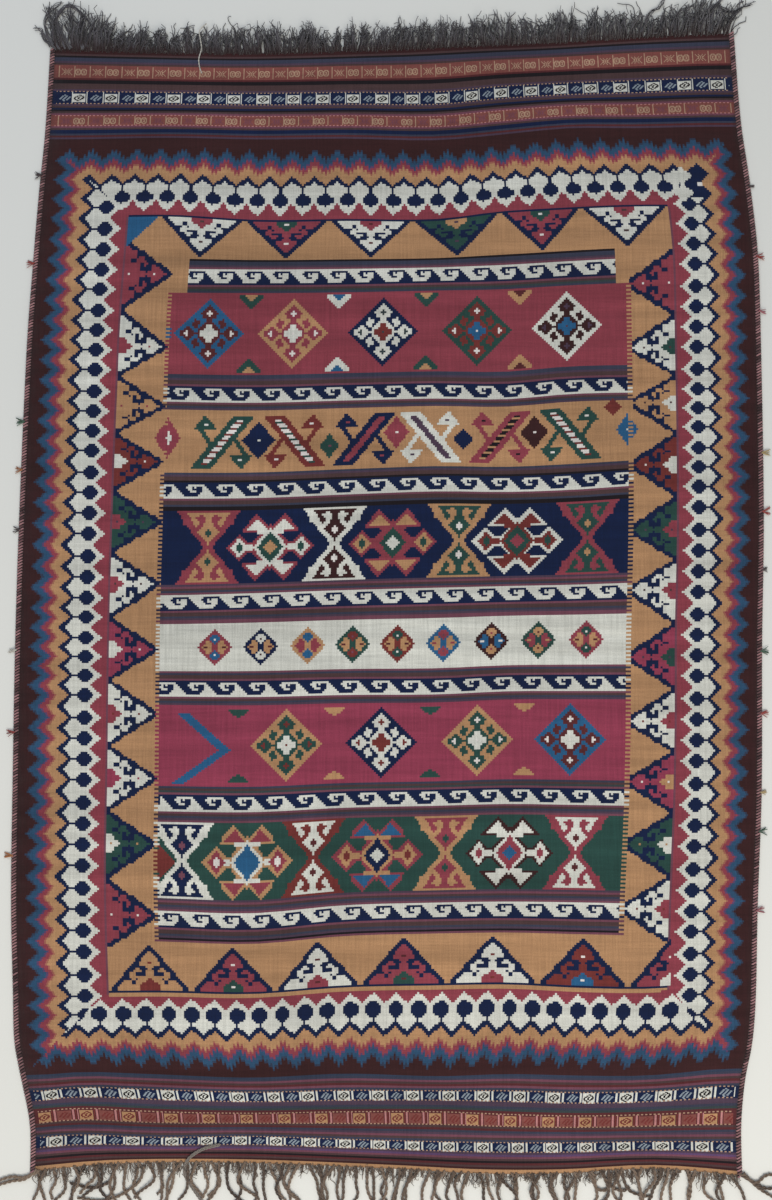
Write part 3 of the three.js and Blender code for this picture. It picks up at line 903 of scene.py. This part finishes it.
def finishTree(tree, made, wool):  # smooth, realized and in its wool
    smooth = node(tree, "GeometryNodeSetShadeSmooth", None, Geometry=made).outputs[0]
    plain = node(tree, "GeometryNodeRealizeInstances", None, Geometry=smooth).outputs[0]
    dyed = node(tree, "GeometryNodeSetMaterial", None, Geometry=plain, Material=wool).outputs[0]
    node(tree, "NodeGroupOutput", None, Geometry=dyed)


def pliedTree():
    # Plies twisted round each path; with a weave of 2 they go over and under, as in a plait
    tree, given = newTree("pliedYarn", {"Points": 24, "Plies": 2, "Turns": 60.0, "Spread": 0.0015,
                                        "Lift": 1.0, "Weave": 1.0, "Width": 0.003, "Taper": 0.4,
                                        "Sides": 4, "Wool": None})
    paths = node(tree, "GeometryNodeMeshToCurve", None, Mesh=given["Geometry"]).outputs[0]
    even = node(tree, "GeometryNodeResampleCurve", None, Curve=paths, Count=given["Points"]).outputs[0]
    level = node(tree, "GeometryNodeSetCurveNormal", {"mode": "Z_UP"}, Curve=even).outputs[0]
    plies = node(tree, "GeometryNodeDuplicateElements", {"domain": "SPLINE"}, Geometry=level,
                 Amount=given["Plies"])
    step = node(tree, "ShaderNodeMath", {"operation": "DIVIDE"}, i0=plies.outputs[1],
                i1=given["Plies"]).outputs[0]
    spline = node(tree, "GeometryNodeSplineParameter").outputs
    turn = node(tree, "ShaderNodeMath", {"operation": "MULTIPLY_ADD"}, i0=spline["Length"],
                i1=given["Turns"], i2=step).outputs[0]
    angle = node(tree, "ShaderNodeMath", {"operation": "MULTIPLY"}, i0=turn, i1=2 * math.pi).outputs[0]
    twice = node(tree, "ShaderNodeMath", {"operation": "MULTIPLY"}, i0=angle, i1=given["Weave"]).outputs[0]
    aside = node(tree, "ShaderNodeMath", {"operation": "COSINE"}, i0=angle).outputs[0]
    above = node(tree, "ShaderNodeMath", {"operation": "SINE"}, i0=twice).outputs[0]
    raised = node(tree, "ShaderNodeMath", {"operation": "MULTIPLY"}, i0=above, i1=given["Lift"]).outputs[0]
    across = node(tree, "ShaderNodeVectorMath", {"operation": "SCALE"},
                  Vector=node(tree, "GeometryNodeInputNormal").outputs[0], Scale=aside).outputs[0]
    upward = node(tree, "ShaderNodeCombineXYZ", None, Z=raised).outputs[0]
    both = node(tree, "ShaderNodeVectorMath", {"operation": "ADD"}, i0=across, i1=upward).outputs[0]
    offset = node(tree, "ShaderNodeVectorMath", {"operation": "SCALE"}, Vector=both,
                  Scale=given["Spread"]).outputs[0]
    twisted = node(tree, "GeometryNodeSetPosition", None, Geometry=plies.outputs[0],
                   Offset=offset).outputs[0]
    thin = node(tree, "ShaderNodeMath", {"operation": "MULTIPLY"}, i0=spline["Factor"],
                i1=given["Taper"]).outputs[0]
    left = node(tree, "ShaderNodeMath", {"operation": "SUBTRACT"}, i0=1.0, i1=thin).outputs[0]
    width = node(tree, "ShaderNodeMath", {"operation": "MULTIPLY"}, i0=left, i1=given["Width"]).outputs[0]
    profile = node(tree, "GeometryNodeCurvePrimitiveCircle", None, Resolution=given["Sides"],
                   Radius=0.5).outputs[0]
    tube = node(tree, "GeometryNodeCurveToMesh", None, Curve=twisted, Profile_Curve=profile, Scale=width,
                Fill_Caps=True).outputs[0]
    finishTree(tree, tube, given["Wool"])
    return tree


def shaggyTree():
    # Cut warp ends that stand close together, lean in clumps and sink to the floor
    tree, given = newTree("shaggyEnds", {"Strands": 1400, "Width": 0.0024, "Sway": 0.03, "Clump": 0.03,
                                         "Pile": 0.007, "Jitter": 0.003, "Floor": 0.0014, "Ceiling": 0.0155,
                                         "Seed": 3, "Wool": None})
    roots = node(tree, "GeometryNodeMeshToCurve", None, Mesh=given["Geometry"]).outputs[0]
    points = node(tree, "GeometryNodeCurveToPoints", {"mode": "COUNT"}, Curve=roots,
                  Count=given["Strands"]).outputs[0]
    spread = node(tree, "FunctionNodeRandomValue", {"data_type": "FLOAT_VECTOR"}, i0=(-1, -1, -0.3),
                  i1=(1, 1, 0.5), Seed=given["Seed"]).outputs[0]
    moved = node(tree, "ShaderNodeVectorMath", {"operation": "SCALE"}, Vector=spread,
                 Scale=given["Jitter"]).outputs[0]
    points = node(tree, "GeometryNodeSetPosition", None, Geometry=points, Offset=moved).outputs[0]
    chance = node(tree, "FunctionNodeRandomValue", {"data_type": "FLOAT"}, i2=0.0, i3=1.0,
                  Seed=7).outputs[1]
    points = node(tree, "GeometryNodeStoreNamedAttribute", {"data_type": "FLOAT", "domain": "POINT"},
                  Geometry=points, Name="strandId", Value=chance).outputs[0]
    strand = node(tree, "GeometryNodeCurvePrimitiveLine", None, Start=(0, 0, 0),
                  End=(0, 0.0001, 0)).outputs[0]
    strand = node(tree, "GeometryNodeResampleCurve", None, Curve=strand, Count=8).outputs[0]
    stood = node(tree, "GeometryNodeInstanceOnPoints", None, Points=points, Instance=strand).outputs[0]
    strands = node(tree, "GeometryNodeRealizeInstances", None, Geometry=stood).outputs[0]
    share = node(tree, "GeometryNodeSplineParameter").outputs["Factor"]
    reach = node(tree, "GeometryNodeInputNamedAttribute", {"data_type": "FLOAT"}, Name="reach").outputs[0]
    lean = node(tree, "GeometryNodeInputNamedAttribute", {"data_type": "FLOAT"}, Name="lean").outputs[0]
    which = node(tree, "GeometryNodeInputNamedAttribute", {"data_type": "FLOAT"},
                 Name="strandId").outputs[0]
    place = node(tree, "GeometryNodeInputPosition").outputs[0]
    # Own wander of each strand and the shared lean of its clump
    steps = node(tree, "ShaderNodeMath", {"operation": "MULTIPLY"}, i0=share, i1=2.4).outputs[0]
    own = node(tree, "ShaderNodeMath", {"operation": "MULTIPLY"}, i0=which, i1=431.0).outputs[0]
    seedPlace = node(tree, "ShaderNodeCombineXYZ", None, X=steps, Y=own, Z=which).outputs[0]
    wander = node(tree, "ShaderNodeTexNoise", None, Vector=seedPlace, Scale=1.0,
                  Detail=1.5).outputs["Color"]
    wander = node(tree, "ShaderNodeVectorMath", {"operation": "SUBTRACT"}, i0=wander,
                  i1=(0.5, 0.5, 0.5)).outputs[0]
    sway = node(tree, "ShaderNodeMath", {"operation": "MULTIPLY"}, i0=given["Sway"], i1=share).outputs[0]
    wander = node(tree, "ShaderNodeVectorMath", {"operation": "SCALE"}, Vector=wander,
                  Scale=sway).outputs[0]
    clump = node(tree, "ShaderNodeTexNoise", None, Vector=place, Scale=55.0, Detail=1.0).outputs["Color"]
    clump = node(tree, "ShaderNodeVectorMath", {"operation": "SUBTRACT"}, i0=clump,
                 i1=(0.5, 0.5, 0.5)).outputs[0]
    tuck = node(tree, "ShaderNodeMath", {"operation": "MULTIPLY"}, i0=given["Clump"], i1=share).outputs[0]
    clump = node(tree, "ShaderNodeVectorMath", {"operation": "SCALE"}, Vector=clump, Scale=tuck).outputs[0]
    # Length, lean and heap
    longer = node(tree, "ShaderNodeMapRange", None, Value=which, To_Min=0.62, To_Max=1.12).outputs[0]
    length = node(tree, "ShaderNodeMath", {"operation": "MULTIPLY"}, i0=reach, i1=longer).outputs[0]
    onward = node(tree, "ShaderNodeMath", {"operation": "MULTIPLY"}, i0=length, i1=share).outputs[0]
    curve = node(tree, "ShaderNodeMath", {"operation": "POWER"}, i0=share, i1=1.4).outputs[0]
    sideways = node(tree, "ShaderNodeMath", {"operation": "MULTIPLY"}, i0=lean, i1=curve).outputs[0]
    rest = node(tree, "ShaderNodeMath", {"operation": "SUBTRACT"}, i0=1.0, i1=share).outputs[0]
    hump = node(tree, "ShaderNodeMath", {"operation": "MULTIPLY"}, i0=share, i1=rest).outputs[0]
    fourth = node(tree, "ShaderNodeMath", {"operation": "MULTIPLY"}, i0=which, i1=4.0).outputs[0]
    heap = node(tree, "ShaderNodeMath", {"operation": "MULTIPLY"}, i0=hump, i1=fourth).outputs[0]
    high = node(tree, "ShaderNodeMath", {"operation": "MULTIPLY"}, i0=heap, i1=given["Pile"]).outputs[0]
    way = node(tree, "ShaderNodeCombineXYZ", None, X=sideways, Y=onward, Z=high).outputs[0]
    way = node(tree, "ShaderNodeVectorMath", {"operation": "ADD"}, i0=way, i1=wander).outputs[0]
    way = node(tree, "ShaderNodeVectorMath", {"operation": "ADD"}, i0=way, i1=clump).outputs[0]
    way = node(tree, "ShaderNodeVectorMath", {"operation": "ADD"}, i0=way, i1=place).outputs[0]
    lowest = node(tree, "ShaderNodeCombineXYZ", None, X=-9.0, Y=-9.0, Z=given["Floor"]).outputs[0]
    way = node(tree, "ShaderNodeVectorMath", {"operation": "MAXIMUM"}, i0=way, i1=lowest).outputs[0]
    highest = node(tree, "ShaderNodeCombineXYZ", None, X=9.0, Y=9.0, Z=given["Ceiling"]).outputs[0]
    way = node(tree, "ShaderNodeVectorMath", {"operation": "MINIMUM"}, i0=way, i1=highest).outputs[0]
    strands = node(tree, "GeometryNodeSetPosition", None, Geometry=strands, Position=way).outputs[0]
    strands = node(tree, "GeometryNodeStoreNamedAttribute", {"data_type": "FLOAT", "domain": "POINT"},
                   Geometry=strands, Name="alongStrand", Value=share).outputs[0]
    thin = node(tree, "ShaderNodeMapRange", None, Value=share, To_Min=1.0, To_Max=0.45).outputs[0]
    width = node(tree, "ShaderNodeMath", {"operation": "MULTIPLY"}, i0=thin, i1=given["Width"]).outputs[0]
    profile = node(tree, "GeometryNodeCurvePrimitiveCircle", None, Resolution=3, Radius=0.5).outputs[0]
    tube = node(tree, "GeometryNodeCurveToMesh", None, Curve=strands, Profile_Curve=profile, Scale=width,
                Fill_Caps=True).outputs[0]
    finishTree(tree, tube, given["Wool"])
    return tree


def overcastTree():
    # Slanted turns of yarn round a flat oval core
    tree, given = newTree("overcastCord", {"Pitch": 0.0056, "Wide": 0.0075, "High": 0.0026, "Yarn": 0.003,
                                           "Slant": 0.5, "Wool": None})
    path = node(tree, "GeometryNodeMeshToCurve", None, Mesh=given["Geometry"]).outputs[0]
    level = node(tree, "GeometryNodeSetCurveNormal", {"mode": "Z_UP"}, Curve=path).outputs[0]
    points = node(tree, "GeometryNodeCurveToPoints", {"mode": "LENGTH"}, Curve=level,
                  Length=given["Pitch"]).outputs[0]
    index = node(tree, "GeometryNodeInputIndex").outputs[0]
    points = node(tree, "GeometryNodeStoreNamedAttribute", {"data_type": "FLOAT", "domain": "POINT"},
                  Geometry=points,
                  Name="strandId", Value=index).outputs[0]
    oval = node(tree, "ShaderNodeCombineXYZ", None, X=given["Wide"], Y=given["High"], Z=1.0).outputs[0]
    ring = node(tree, "GeometryNodeCurvePrimitiveCircle", None, Resolution=12, Radius=0.5).outputs[0]
    ring = node(tree, "GeometryNodeTransform", None, Geometry=ring, Scale=oval).outputs[0]
    section = node(tree, "GeometryNodeCurvePrimitiveCircle", None, Resolution=5, Radius=0.5).outputs[0]
    turn = node(tree, "GeometryNodeCurveToMesh", None, Curve=ring, Profile_Curve=section,
                Scale=given["Yarn"]).outputs[0]
    slant = node(tree, "ShaderNodeCombineXYZ", None, X=math.pi / 2, Z=given["Slant"]).outputs[0]
    turned = node(tree, "FunctionNodeEulerToRotation", None, Euler=slant).outputs[0]
    turns = node(tree, "GeometryNodeInstanceOnPoints", None, Points=points, Instance=turn,
                 Rotation=turned).outputs[0]
    turns = node(tree, "GeometryNodeRealizeInstances", None, Geometry=turns).outputs[0]
    even = node(tree, "GeometryNodeResampleCurve", None, Curve=level, Count=120).outputs[0]
    inner = node(tree, "ShaderNodeMath", {"operation": "ADD"}, i0=given["High"], i1=0.0012).outputs[0]
    flat = node(tree, "ShaderNodeCombineXYZ", None, X=given["Wide"], Y=inner, Z=1.0).outputs[0]
    core = node(tree, "GeometryNodeTransform", None,
                Geometry=node(tree, "GeometryNodeCurvePrimitiveCircle", None,
                Resolution=10, Radius=0.5).outputs[0], Scale=flat).outputs[0]
    core = node(tree, "GeometryNodeCurveToMesh", None, Curve=even, Profile_Curve=core, Scale=1.0,
                Fill_Caps=True).outputs[0]
    core = node(tree, "GeometryNodeStoreNamedAttribute", {"data_type": "FLOAT", "domain": "POINT"},
                Geometry=core,
                Name="strandId", Value=-1.0).outputs[0]
    joined = node(tree, "GeometryNodeJoinGeometry")
    tree.links.new(turns, joined.inputs[0])
    tree.links.new(core, joined.inputs[0])
    finishTree(tree, joined.outputs[0], given["Wool"])
    return tree


def grow(name, chains, tree, marks=None, **settings):
    # Runs a tree on chains of kilim places, in mm, and keeps the plain mesh
    places = np.concatenate([toFrame(*np.asarray(chain, float).T) for chain in chains])
    edges, first = [], 0
    for chain in chains:
        edges += [(first + i, first + i + 1) for i in range(len(chain) - 1)]
        first += len(chain)
    mesh = bpy.data.meshes.new(name + "Path")
    mesh.from_pydata(places.tolist(), edges, [])
    for label, values in (marks or {}).items():
        mesh.attributes.new(label, "FLOAT",
                            "POINT").data.foreach_set("value", np.asarray(values, np.float32))
    source = bpy.data.objects.new(name + "Path", mesh)
    bpy.context.scene.collection.objects.link(source)
    modifier = source.modifiers.new("grow", "NODES")
    modifier.node_group = tree
    for socket in tree.interface.items_tree:
        if socket.in_out == "INPUT" and socket.name in settings:
            modifier[socket.identifier] = settings[socket.name]
    graph = bpy.context.evaluated_depsgraph_get()
    grown = bpy.data.meshes.new_from_object(source.evaluated_get(graph), depsgraph=graph)
    grown.name = name
    bpy.data.objects.remove(source)
    bpy.data.meshes.remove(mesh)
    made = bpy.data.objects.new(name, grown)
    bpy.context.scene.collection.objects.link(made)
    print(name, len(grown.polygons), "faces")
    return made


# The cloth
clothWool = slitTapestryWool()
kilimCloth = weaveSheet("kilimCloth", fabricGrid, rowLines, cloth["thickness"], 0.0,
                        (4, 8), (0.002, 0.85), (0.862, 0.985))
kilimCloth.data.materials.append(clothWool)
print("cloth woven")

# Side cords
sideCord = {"inside": 4.6, "middle": 2.9, "steps": 90, "pitch": 0.0064, "wide": 0.0104, "high": 0.0022,
            "yarn": 0.0038}
overcast = overcastTree()
cordWool = overcastWool()
dice = np.random.default_rng(11)


def makeSideCord(name, across, slant):
    up = np.linspace(-1.0, 1.0, sideCord["steps"])
    x, y = spot(np.full(up.shape, float(across)), up, sideCord["inside"])
    return grow(name, [np.stack([x, y, sideCord["middle"] + liftAt(x, y)], axis=1)], overcast,
                Pitch=sideCord["pitch"], Wide=sideCord["wide"], High=sideCord["high"],
                Yarn=sideCord["yarn"], Slant=slant, Wool=cordWool)


leftCord = makeSideCord("leftCord", 0, 0.55)
rightCord = makeSideCord("rightCord", 1, 0.55)
print("side cords overcast")

# Fringes, from the part's own ends
topEnds = [  # x, lean, reach in mm
    (-775, -34, 62), (-745, -20, 104), (-690, 10, 98), (-620, 8, 52), (-300, -6, 56), (0, 6, 52),
    (320, -4, 58), (600, 8, 56), (700, 10, 76), (775, 34, 70),
]
bottomEnds = [
    (-775, -62, 22), (-748, -16, 96), (-500, -14, 112), (-300, 8, 104), (0, -8, 112), (300, 10, 106),
    (600, -8, 112), (715, 18, 98), (760, 60, 40),
]
shaggy = shaggyTree()
plied = pliedTree()
greyWarp = yarnWool("greyWarpWool", "#1c1a1d", "#66636a", "#2c1819")
brownWarp = yarnWool("brownWarpWool", "#43362f", "#857263")
paleWarp = yarnWool("paleWarpWool", "#5e5751", "#958d86")


def endLine(row, beyond, steps=160):  # kilim places just beyond an end of the cloth
    warp = np.linspace(0, weave["warps"], steps)
    x, y, z = clothPoint(np.full(steps, float(row)), warp, 1.6)
    return np.stack([x, y + beyond, z], axis=1)


topStrands = {"Strands": 1500, "Width": 0.0034, "Sway": 0.075, "Clump": 0.065, "Pile": 0.008,
              "Jitter": 0.004}
topRoots = endLine(0, -1.0)
topFringe = grow("topFringe", [topRoots], shaggy,
                 {"reach": along(topEnds, topRoots[:, 0], 2) * mm,
                  "lean": along(topEnds, topRoots[:, 0], 1) * mm},
                 Wool=greyWarp, **topStrands)
hemStrands = {"Strands": 620, "Width": 0.0026, "Sway": 0.05, "Clump": 0.05, "Pile": 0.004, "Jitter": 0.003}
hemReach = -24 * mm
hemRoots = endLine(weave["rows"], 1.0)
hemEnds = grow("hemEnds", [hemRoots], shaggy,
               {"reach": np.full(len(hemRoots), hemReach), "lean": np.zeros(len(hemRoots))},
               Wool=brownWarp, **hemStrands)

# Long single ends in the top fringe, read off the photo, mm right and up from the kilim's middle
longEnds = [
    [(-761, 1223), (-780, 1252), (-785, 1285), (-772, 1313), (-758, 1325), (-749, 1336)],
    [(-752, 1223), (-766, 1256), (-760, 1294), (-740, 1322), (-713, 1318), (-689, 1289), (-671, 1263)],
    [(-738, 1223), (-753, 1261), (-758, 1299), (-731, 1327), (-699, 1306), (-680, 1280), (-662, 1261)],
    [(-725, 1223), (-743, 1256), (-762, 1285), (-776, 1303), (-786, 1322)],
    [(-766, 1233), (-784, 1252), (-796, 1270), (-810, 1275)],
    [(-697, 1223), (-707, 1256), (-699, 1294), (-697, 1308)],
    [(-688, 1228), (-698, 1261), (-717, 1289), (-740, 1308), (-758, 1313)],
    [(-770, 1228), (-784, 1247), (-789, 1261), (-798, 1259)],
    [(-568, 1236), (-569, 1275), (-571, 1292)],
    [(-498, 1236), (-491, 1266), (-494, 1277), (-489, 1285)],
    [(-471, 1236), (-469, 1268), (-457, 1277), (-446, 1280)],
    [(-355, 1236), (-353, 1266), (-367, 1285), (-371, 1299), (-364, 1301)],
    [(-380, 1236), (-382, 1270), (-376, 1285)],
    [(-303, 1236), (-310, 1268), (-319, 1275)],
    [(411, 1250), (409, 1303), (411, 1325)],
    [(447, 1250), (445, 1299), (432, 1310), (418, 1320)],
    [(463, 1250), (463, 1299), (457, 1313), (457, 1320)],
    [(550, 1260), (552, 1313), (543, 1327), (527, 1329), (514, 1332)],
    [(570, 1262), (566, 1313), (559, 1327), (557, 1336)],
    [(565, 1262), (588, 1308), (607, 1318), (618, 1332), (625, 1348)],
    [(640, 1264), (652, 1308), (670, 1318), (684, 1325), (691, 1329)],
    [(700, 1264), (702, 1318), (709, 1336), (717, 1352)],
    [(718, 1264), (730, 1318), (744, 1336), (753, 1352)],
    [(727, 1262), (729, 1308), (741, 1329), (752, 1318), (775, 1308), (789, 1320), (807, 1325),
     (821, 1329)],
    [(733, 1262), (747, 1280), (756, 1289), (775, 1289)],
    [(768, 1250), (783, 1261), (786, 1270), (792, 1275)],
]


def overFloor(chain, root, tip):  # gives a listed way its height, from its root down to its tip
    chain = np.array(chain, float)
    share = np.linspace(0, 1, len(chain))
    return np.column_stack([chain, root + (tip - root) * share ** 0.6])


strayChains = [overFloor(chain, 5.0, 2.2) for chain in longEnds]
for chain in 3 * (longEnds[:8] + longEnds[19:24]):  # three others run close by each end at both corners
    apart = dice.uniform(-5, 5, (len(chain), 2)) * np.linspace(0.6, 1.6, len(chain))[:, None]
    strayChains.append(overFloor(np.array(chain) + apart, 6.5, 3.0))


def smoothed(chain, steps=18):  # a soft curve through a few places
    rows = np.column_stack([np.arange(len(chain)), chain])
    at = np.linspace(0, len(chain) - 1, steps)
    return np.column_stack([along(rows, at, column) for column in (1, 2, 3)])


strayChains = [smoothed(chain) for chain in strayChains]
strayIds = np.repeat(dice.uniform(0, 1, len(strayChains)), 18)
strayYarn = {"Points": 16, "Plies": 1, "Spread": 0.0, "Width": 0.0028, "Taper": 0.5, "Sides": 4}
strayEnds = grow("strayEnds", strayChains, plied,
                 {"strandId": strayIds, "alongStrand": np.ones(len(strayIds))},
                 Wool=greyWarp, **strayYarn)

# Long plied ends along the bottom
bottomStrands = {"count": 84, "steps": 14, "wander": 22, "plies": 2, "turns": 46.0, "width": 0.0046,
                 "spread": 0.0019, "points": 30, "lift": 0.75, "taper": 0.35, "sides": 5}
handLaid = [
    [(-750, -1246), (-783, -1259), (-805, -1257), (-826, -1262), (-846, -1270)],
    [(-755, -1243), (-780, -1262), (-806, -1266), (-838, -1275)],
    [(-588, -1234), (-596, -1262), (-611, -1274), (-634, -1280), (-664, -1276), (-685, -1270)],
    [(-526, -1236), (-536, -1266), (-561, -1286), (-589, -1301), (-621, -1307), (-668, -1301)],
    [(-626, -1236), (-634, -1262), (-647, -1274), (-663, -1293)],
    [(749, -1250), (777, -1278), (800, -1293), (821, -1305)],
    [(740, -1250), (775, -1270), (792, -1257), (809, -1253), (826, -1264), (836, -1282)],
    [(745, -1254), (791, -1280), (817, -1280), (834, -1278)],
    [(421, -1247), (434, -1278), (451, -1286), (464, -1274), (468, -1249)],
    [(447, -1247), (468, -1278), (493, -1286), (506, -1278)],
    [(489, -1247), (502, -1282), (527, -1295), (553, -1299)],
]


def makeBottomFringe():
    chains = []
    size = bottomStrands
    for i in range(size["count"]):
        share = (i + 0.5 + dice.uniform(-0.3, 0.3)) / size["count"]
        x, y, z = clothPoint(np.array([float(weave["rows"])]), np.array([share * weave["warps"]]), 1.8)
        x, y = x[0], y[0] + 2
        u = np.linspace(0, 1, size["steps"])
        lean = along(bottomEnds, x, 1) + dice.normal(0, 16)
        reach = along(bottomEnds, x, 2) * dice.uniform(0.6, 1.06)
        phase = dice.uniform(0, 6.28)
        bow = dice.uniform(-1, 1) * size["wander"] * np.sin(np.pi * u)
        aside = lean * u ** 1.3 + bow + dice.uniform(3, 9) * (np.sin(u * 8 + phase) - math.sin(phase)) * u
        rise = dice.uniform(0, 5.5)
        high = 2.6 + rise * np.sin(np.pi * np.minimum(u * 1.15, 1)) + 0.8 * (1 - u)
        chains.append(np.column_stack([x + aside, y - reach * u, high]))
    chains += [smoothed(overFloor(chain, 4.0, 3.0), size["steps"]) for chain in handLaid]
    ids = np.repeat(dice.uniform(0, 1, len(chains)), size["steps"])
    return grow("bottomFringe", chains, plied, {"strandId": ids}, Points=size["points"],
                Plies=size["plies"], Turns=size["turns"], Spread=size["spread"], Lift=size["lift"],
                Width=size["width"], Taper=size["taper"], Sides=size["sides"], Wool=brownWarp)


bottomFringe = makeBottomFringe()
print("fringes grown")

# Loose plait and pale end
plaitWay = [(-366, -1190), (-404, -1200), (-434, -1222), (-440, -1252), (-420, -1285), (-398, -1315)]
plaitHeights = [5.2, 5.4, 5.4, 4.0, 3.6, 3.4]
plaitChain = smoothed(np.column_stack([plaitWay, plaitHeights]), 40)
plaitYarn = {"Points": 90, "Plies": 3, "Turns": 42.0, "Spread": 0.0022, "Lift": 0.55, "Weave": 2.0,
             "Width": 0.0032, "Taper": 0.25, "Sides": 6}
loosePlait = grow("loosePlait", [plaitChain], plied, {"strandId": np.linspace(0, 1, 40)},
                  Wool=paleWarp, **plaitYarn)
paleWay = [(-419, 1282), (-428, 1273), (-435, 1261), (-432, 1242), (-430, 1223), (-436, 1200),
           (-434, 1181), (-429, 1167)]
paleHeights = [6, 7, 8, 7.5, 5.5, 4.2, 4.0, 3.9]
paleChain = smoothed(np.column_stack([paleWay, paleHeights]), 30)
bleached = yarnWool("bleachedWool", "#b9b5ad", "#d5d2ca")
paleYarn = {"Points": 40, "Plies": 2, "Turns": 70.0, "Spread": 0.0008, "Width": 0.0021, "Taper": 0.3,
            "Sides": 4}
paleEnd = grow("paleEnd", [paleChain], plied, {"strandId": np.full(30, 0.4)}, Wool=bleached, **paleYarn)
print("plait laid")

# Yarn ends in the side cords
tuftDyes = {
    "dark_wool": ("#2a2022", "#54464a"),
    "red_wool": ("#7c2a2a", "#a8423a"),
    "rose_wool": ("#8c4a55", "#b06a74"),
    "green_wool": ("#23402f", "#3f6450"),
    "orange_wool": ("#8f5630", "#b87a48"),
    "straw_wool": ("#958058", "#b8a478"),
    "pale_wool": ("#aaa59c", "#ccc8c0"),
}
tuftPlaces = {  # y, reach, slot, all in mm
    "left": [(930, 13, "dark_wool"), (727, 15, "red_wool"), (369, 16, "green_wool"),
             (261, 14, "orange_wool"),
             (127, 13, "dark_wool"), (-137, 16, "pale_wool"), (-316, 15, "red_wool"),
             (-582, 16, "orange_wool")],
    "right": [(904, 11, "dark_wool"), (743, 15, "red_wool"), (618, 14, "rose_wool"),
              (299, 16, "straw_wool"),
              (168, 15, "red_wool"), (39, 10, "dark_wool"), (-140, 15, "green_wool"),
              (-275, 15, "red_wool"),
              (-446, 12, "straw_wool"), (-530, 15, "green_wool"), (-699, 16, "rose_wool")],
}
tuftYarn = {"Points": 6, "Plies": 1, "Spread": 0.0, "Width": 0.0024, "Taper": 0.55, "Sides": 4}
tuftStrands = 9
tuftWools = {slot: yarnWool(slot.replace("_w", "W"), *dyes) for slot, dyes in tuftDyes.items()}


def makeTuft(name, side, y, reach, slot):
    out = -1 if side == "left" else 1
    edge = along(sideEdges, y, 1 if side == "left" else 2)
    chains = []
    for i in range(tuftStrands):
        u = np.linspace(0, 1, 6)
        fan = dice.uniform(-0.55, 0.55)
        x = edge - out * 4 + out * (4 + reach * dice.uniform(0.75, 1.1)) * u
        bend = dice.uniform(-4, 4)
        high = 5.4 * (1 - u) ** 1.5 + dice.uniform(1.2, 3.6)
        chains.append(np.column_stack([x, y + reach * fan * u + bend * u * u, high]))
    ids = np.repeat(dice.uniform(0, 1, len(chains)), 6)
    return grow(name, chains, plied, {"strandId": ids}, Wool=tuftWools[slot], **tuftYarn)


tufts = []
for side, rows in tuftPlaces.items():
    for n, (y, reach, slot) in enumerate(rows, 1):
        stood = "tuft_{}_{}".format(side, n)
        tufts.append((makeTuft(stood + "_yarn", side, y, reach, slot), stood, slot))
print("tufts made")


# Floor and light
def makeFloor():
    mesh = bpy.data.meshes.new("floor")
    half = 4.0
    mesh.from_pydata([(-half, -half, 0), (half, -half, 0), (half, half, 0), (-half, half, 0)], [],
                     [(0, 1, 2, 3)])
    floor = bpy.data.objects.new("floor", mesh)
    bpy.context.scene.collection.objects.link(floor)
    floor.location.z = -0.0005
    made, tree, shader = fabric("paleFloor", 0.7, 0.0)
    shader.inputs["Base Color"].default_value = linear("#e4e5e2")
    mesh.materials.append(made)
    return floor


def softLight(name, place, aim, size, power, colour):
    lamp = bpy.data.lights.new(name, "AREA")
    lamp.shape = "RECTANGLE"
    lamp.size, lamp.size_y = size
    lamp.energy = power
    lamp.color = linear(colour)[:3]
    made = bpy.data.objects.new(name, lamp)
    made.location = place
    made.rotation_euler = (Vector(aim) - Vector(place)).to_track_quat("-Z", "Y").to_euler()
    bpy.context.scene.collection.objects.link(made)
    return made


floor = makeFloor()
softLight("window", (0.6, -2.7, 3.2), (0, -0.5, 0), (3.0, 2.0), 88, "#fff8ec")
softLight("fill", (-1.4, 2.4, 3.2), (0, 0.3, 0), (3.0, 2.0), 22, "#d4e4ff")
world = bpy.data.worlds.new("studio")
world.use_nodes = True
sky = world.node_tree.nodes["Background"]
sky.inputs[0].default_value = linear("#f2f4f4")
sky.inputs[1].default_value = 0.55
bpy.context.scene.world = world
bpy.context.scene.view_settings.view_transform = "Standard"
print("floor and light placed")

# Every piece goes onto the root body and hides the frame parts it replaces
pieces = [
    (kilimCloth, ("ground",), "ground_wool"), (leftCord, ("side_cord_left",), "side_cord_wool"),
    (rightCord, ("side_cord_right",), "side_cord_wool"), (topFringe, ("fringe_top",), "grey_warp_wool"),
    (strayEnds, (), "grey_warp_wool"), (bottomFringe, ("fringe_bottom",), "brown_warp_wool"),
    (hemEnds, (), "brown_warp_wool"), (loosePlait, ("loose_plait",), "pale_warp_wool"),
    (paleEnd, (), "pale_warp_wool"),
]
pieces += [(piece, (name,), slot) for piece, name, slot in tufts]
for piece, replaced, slot in pieces:
    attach(piece, "root")
    if replaced:
        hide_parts(*replaced)
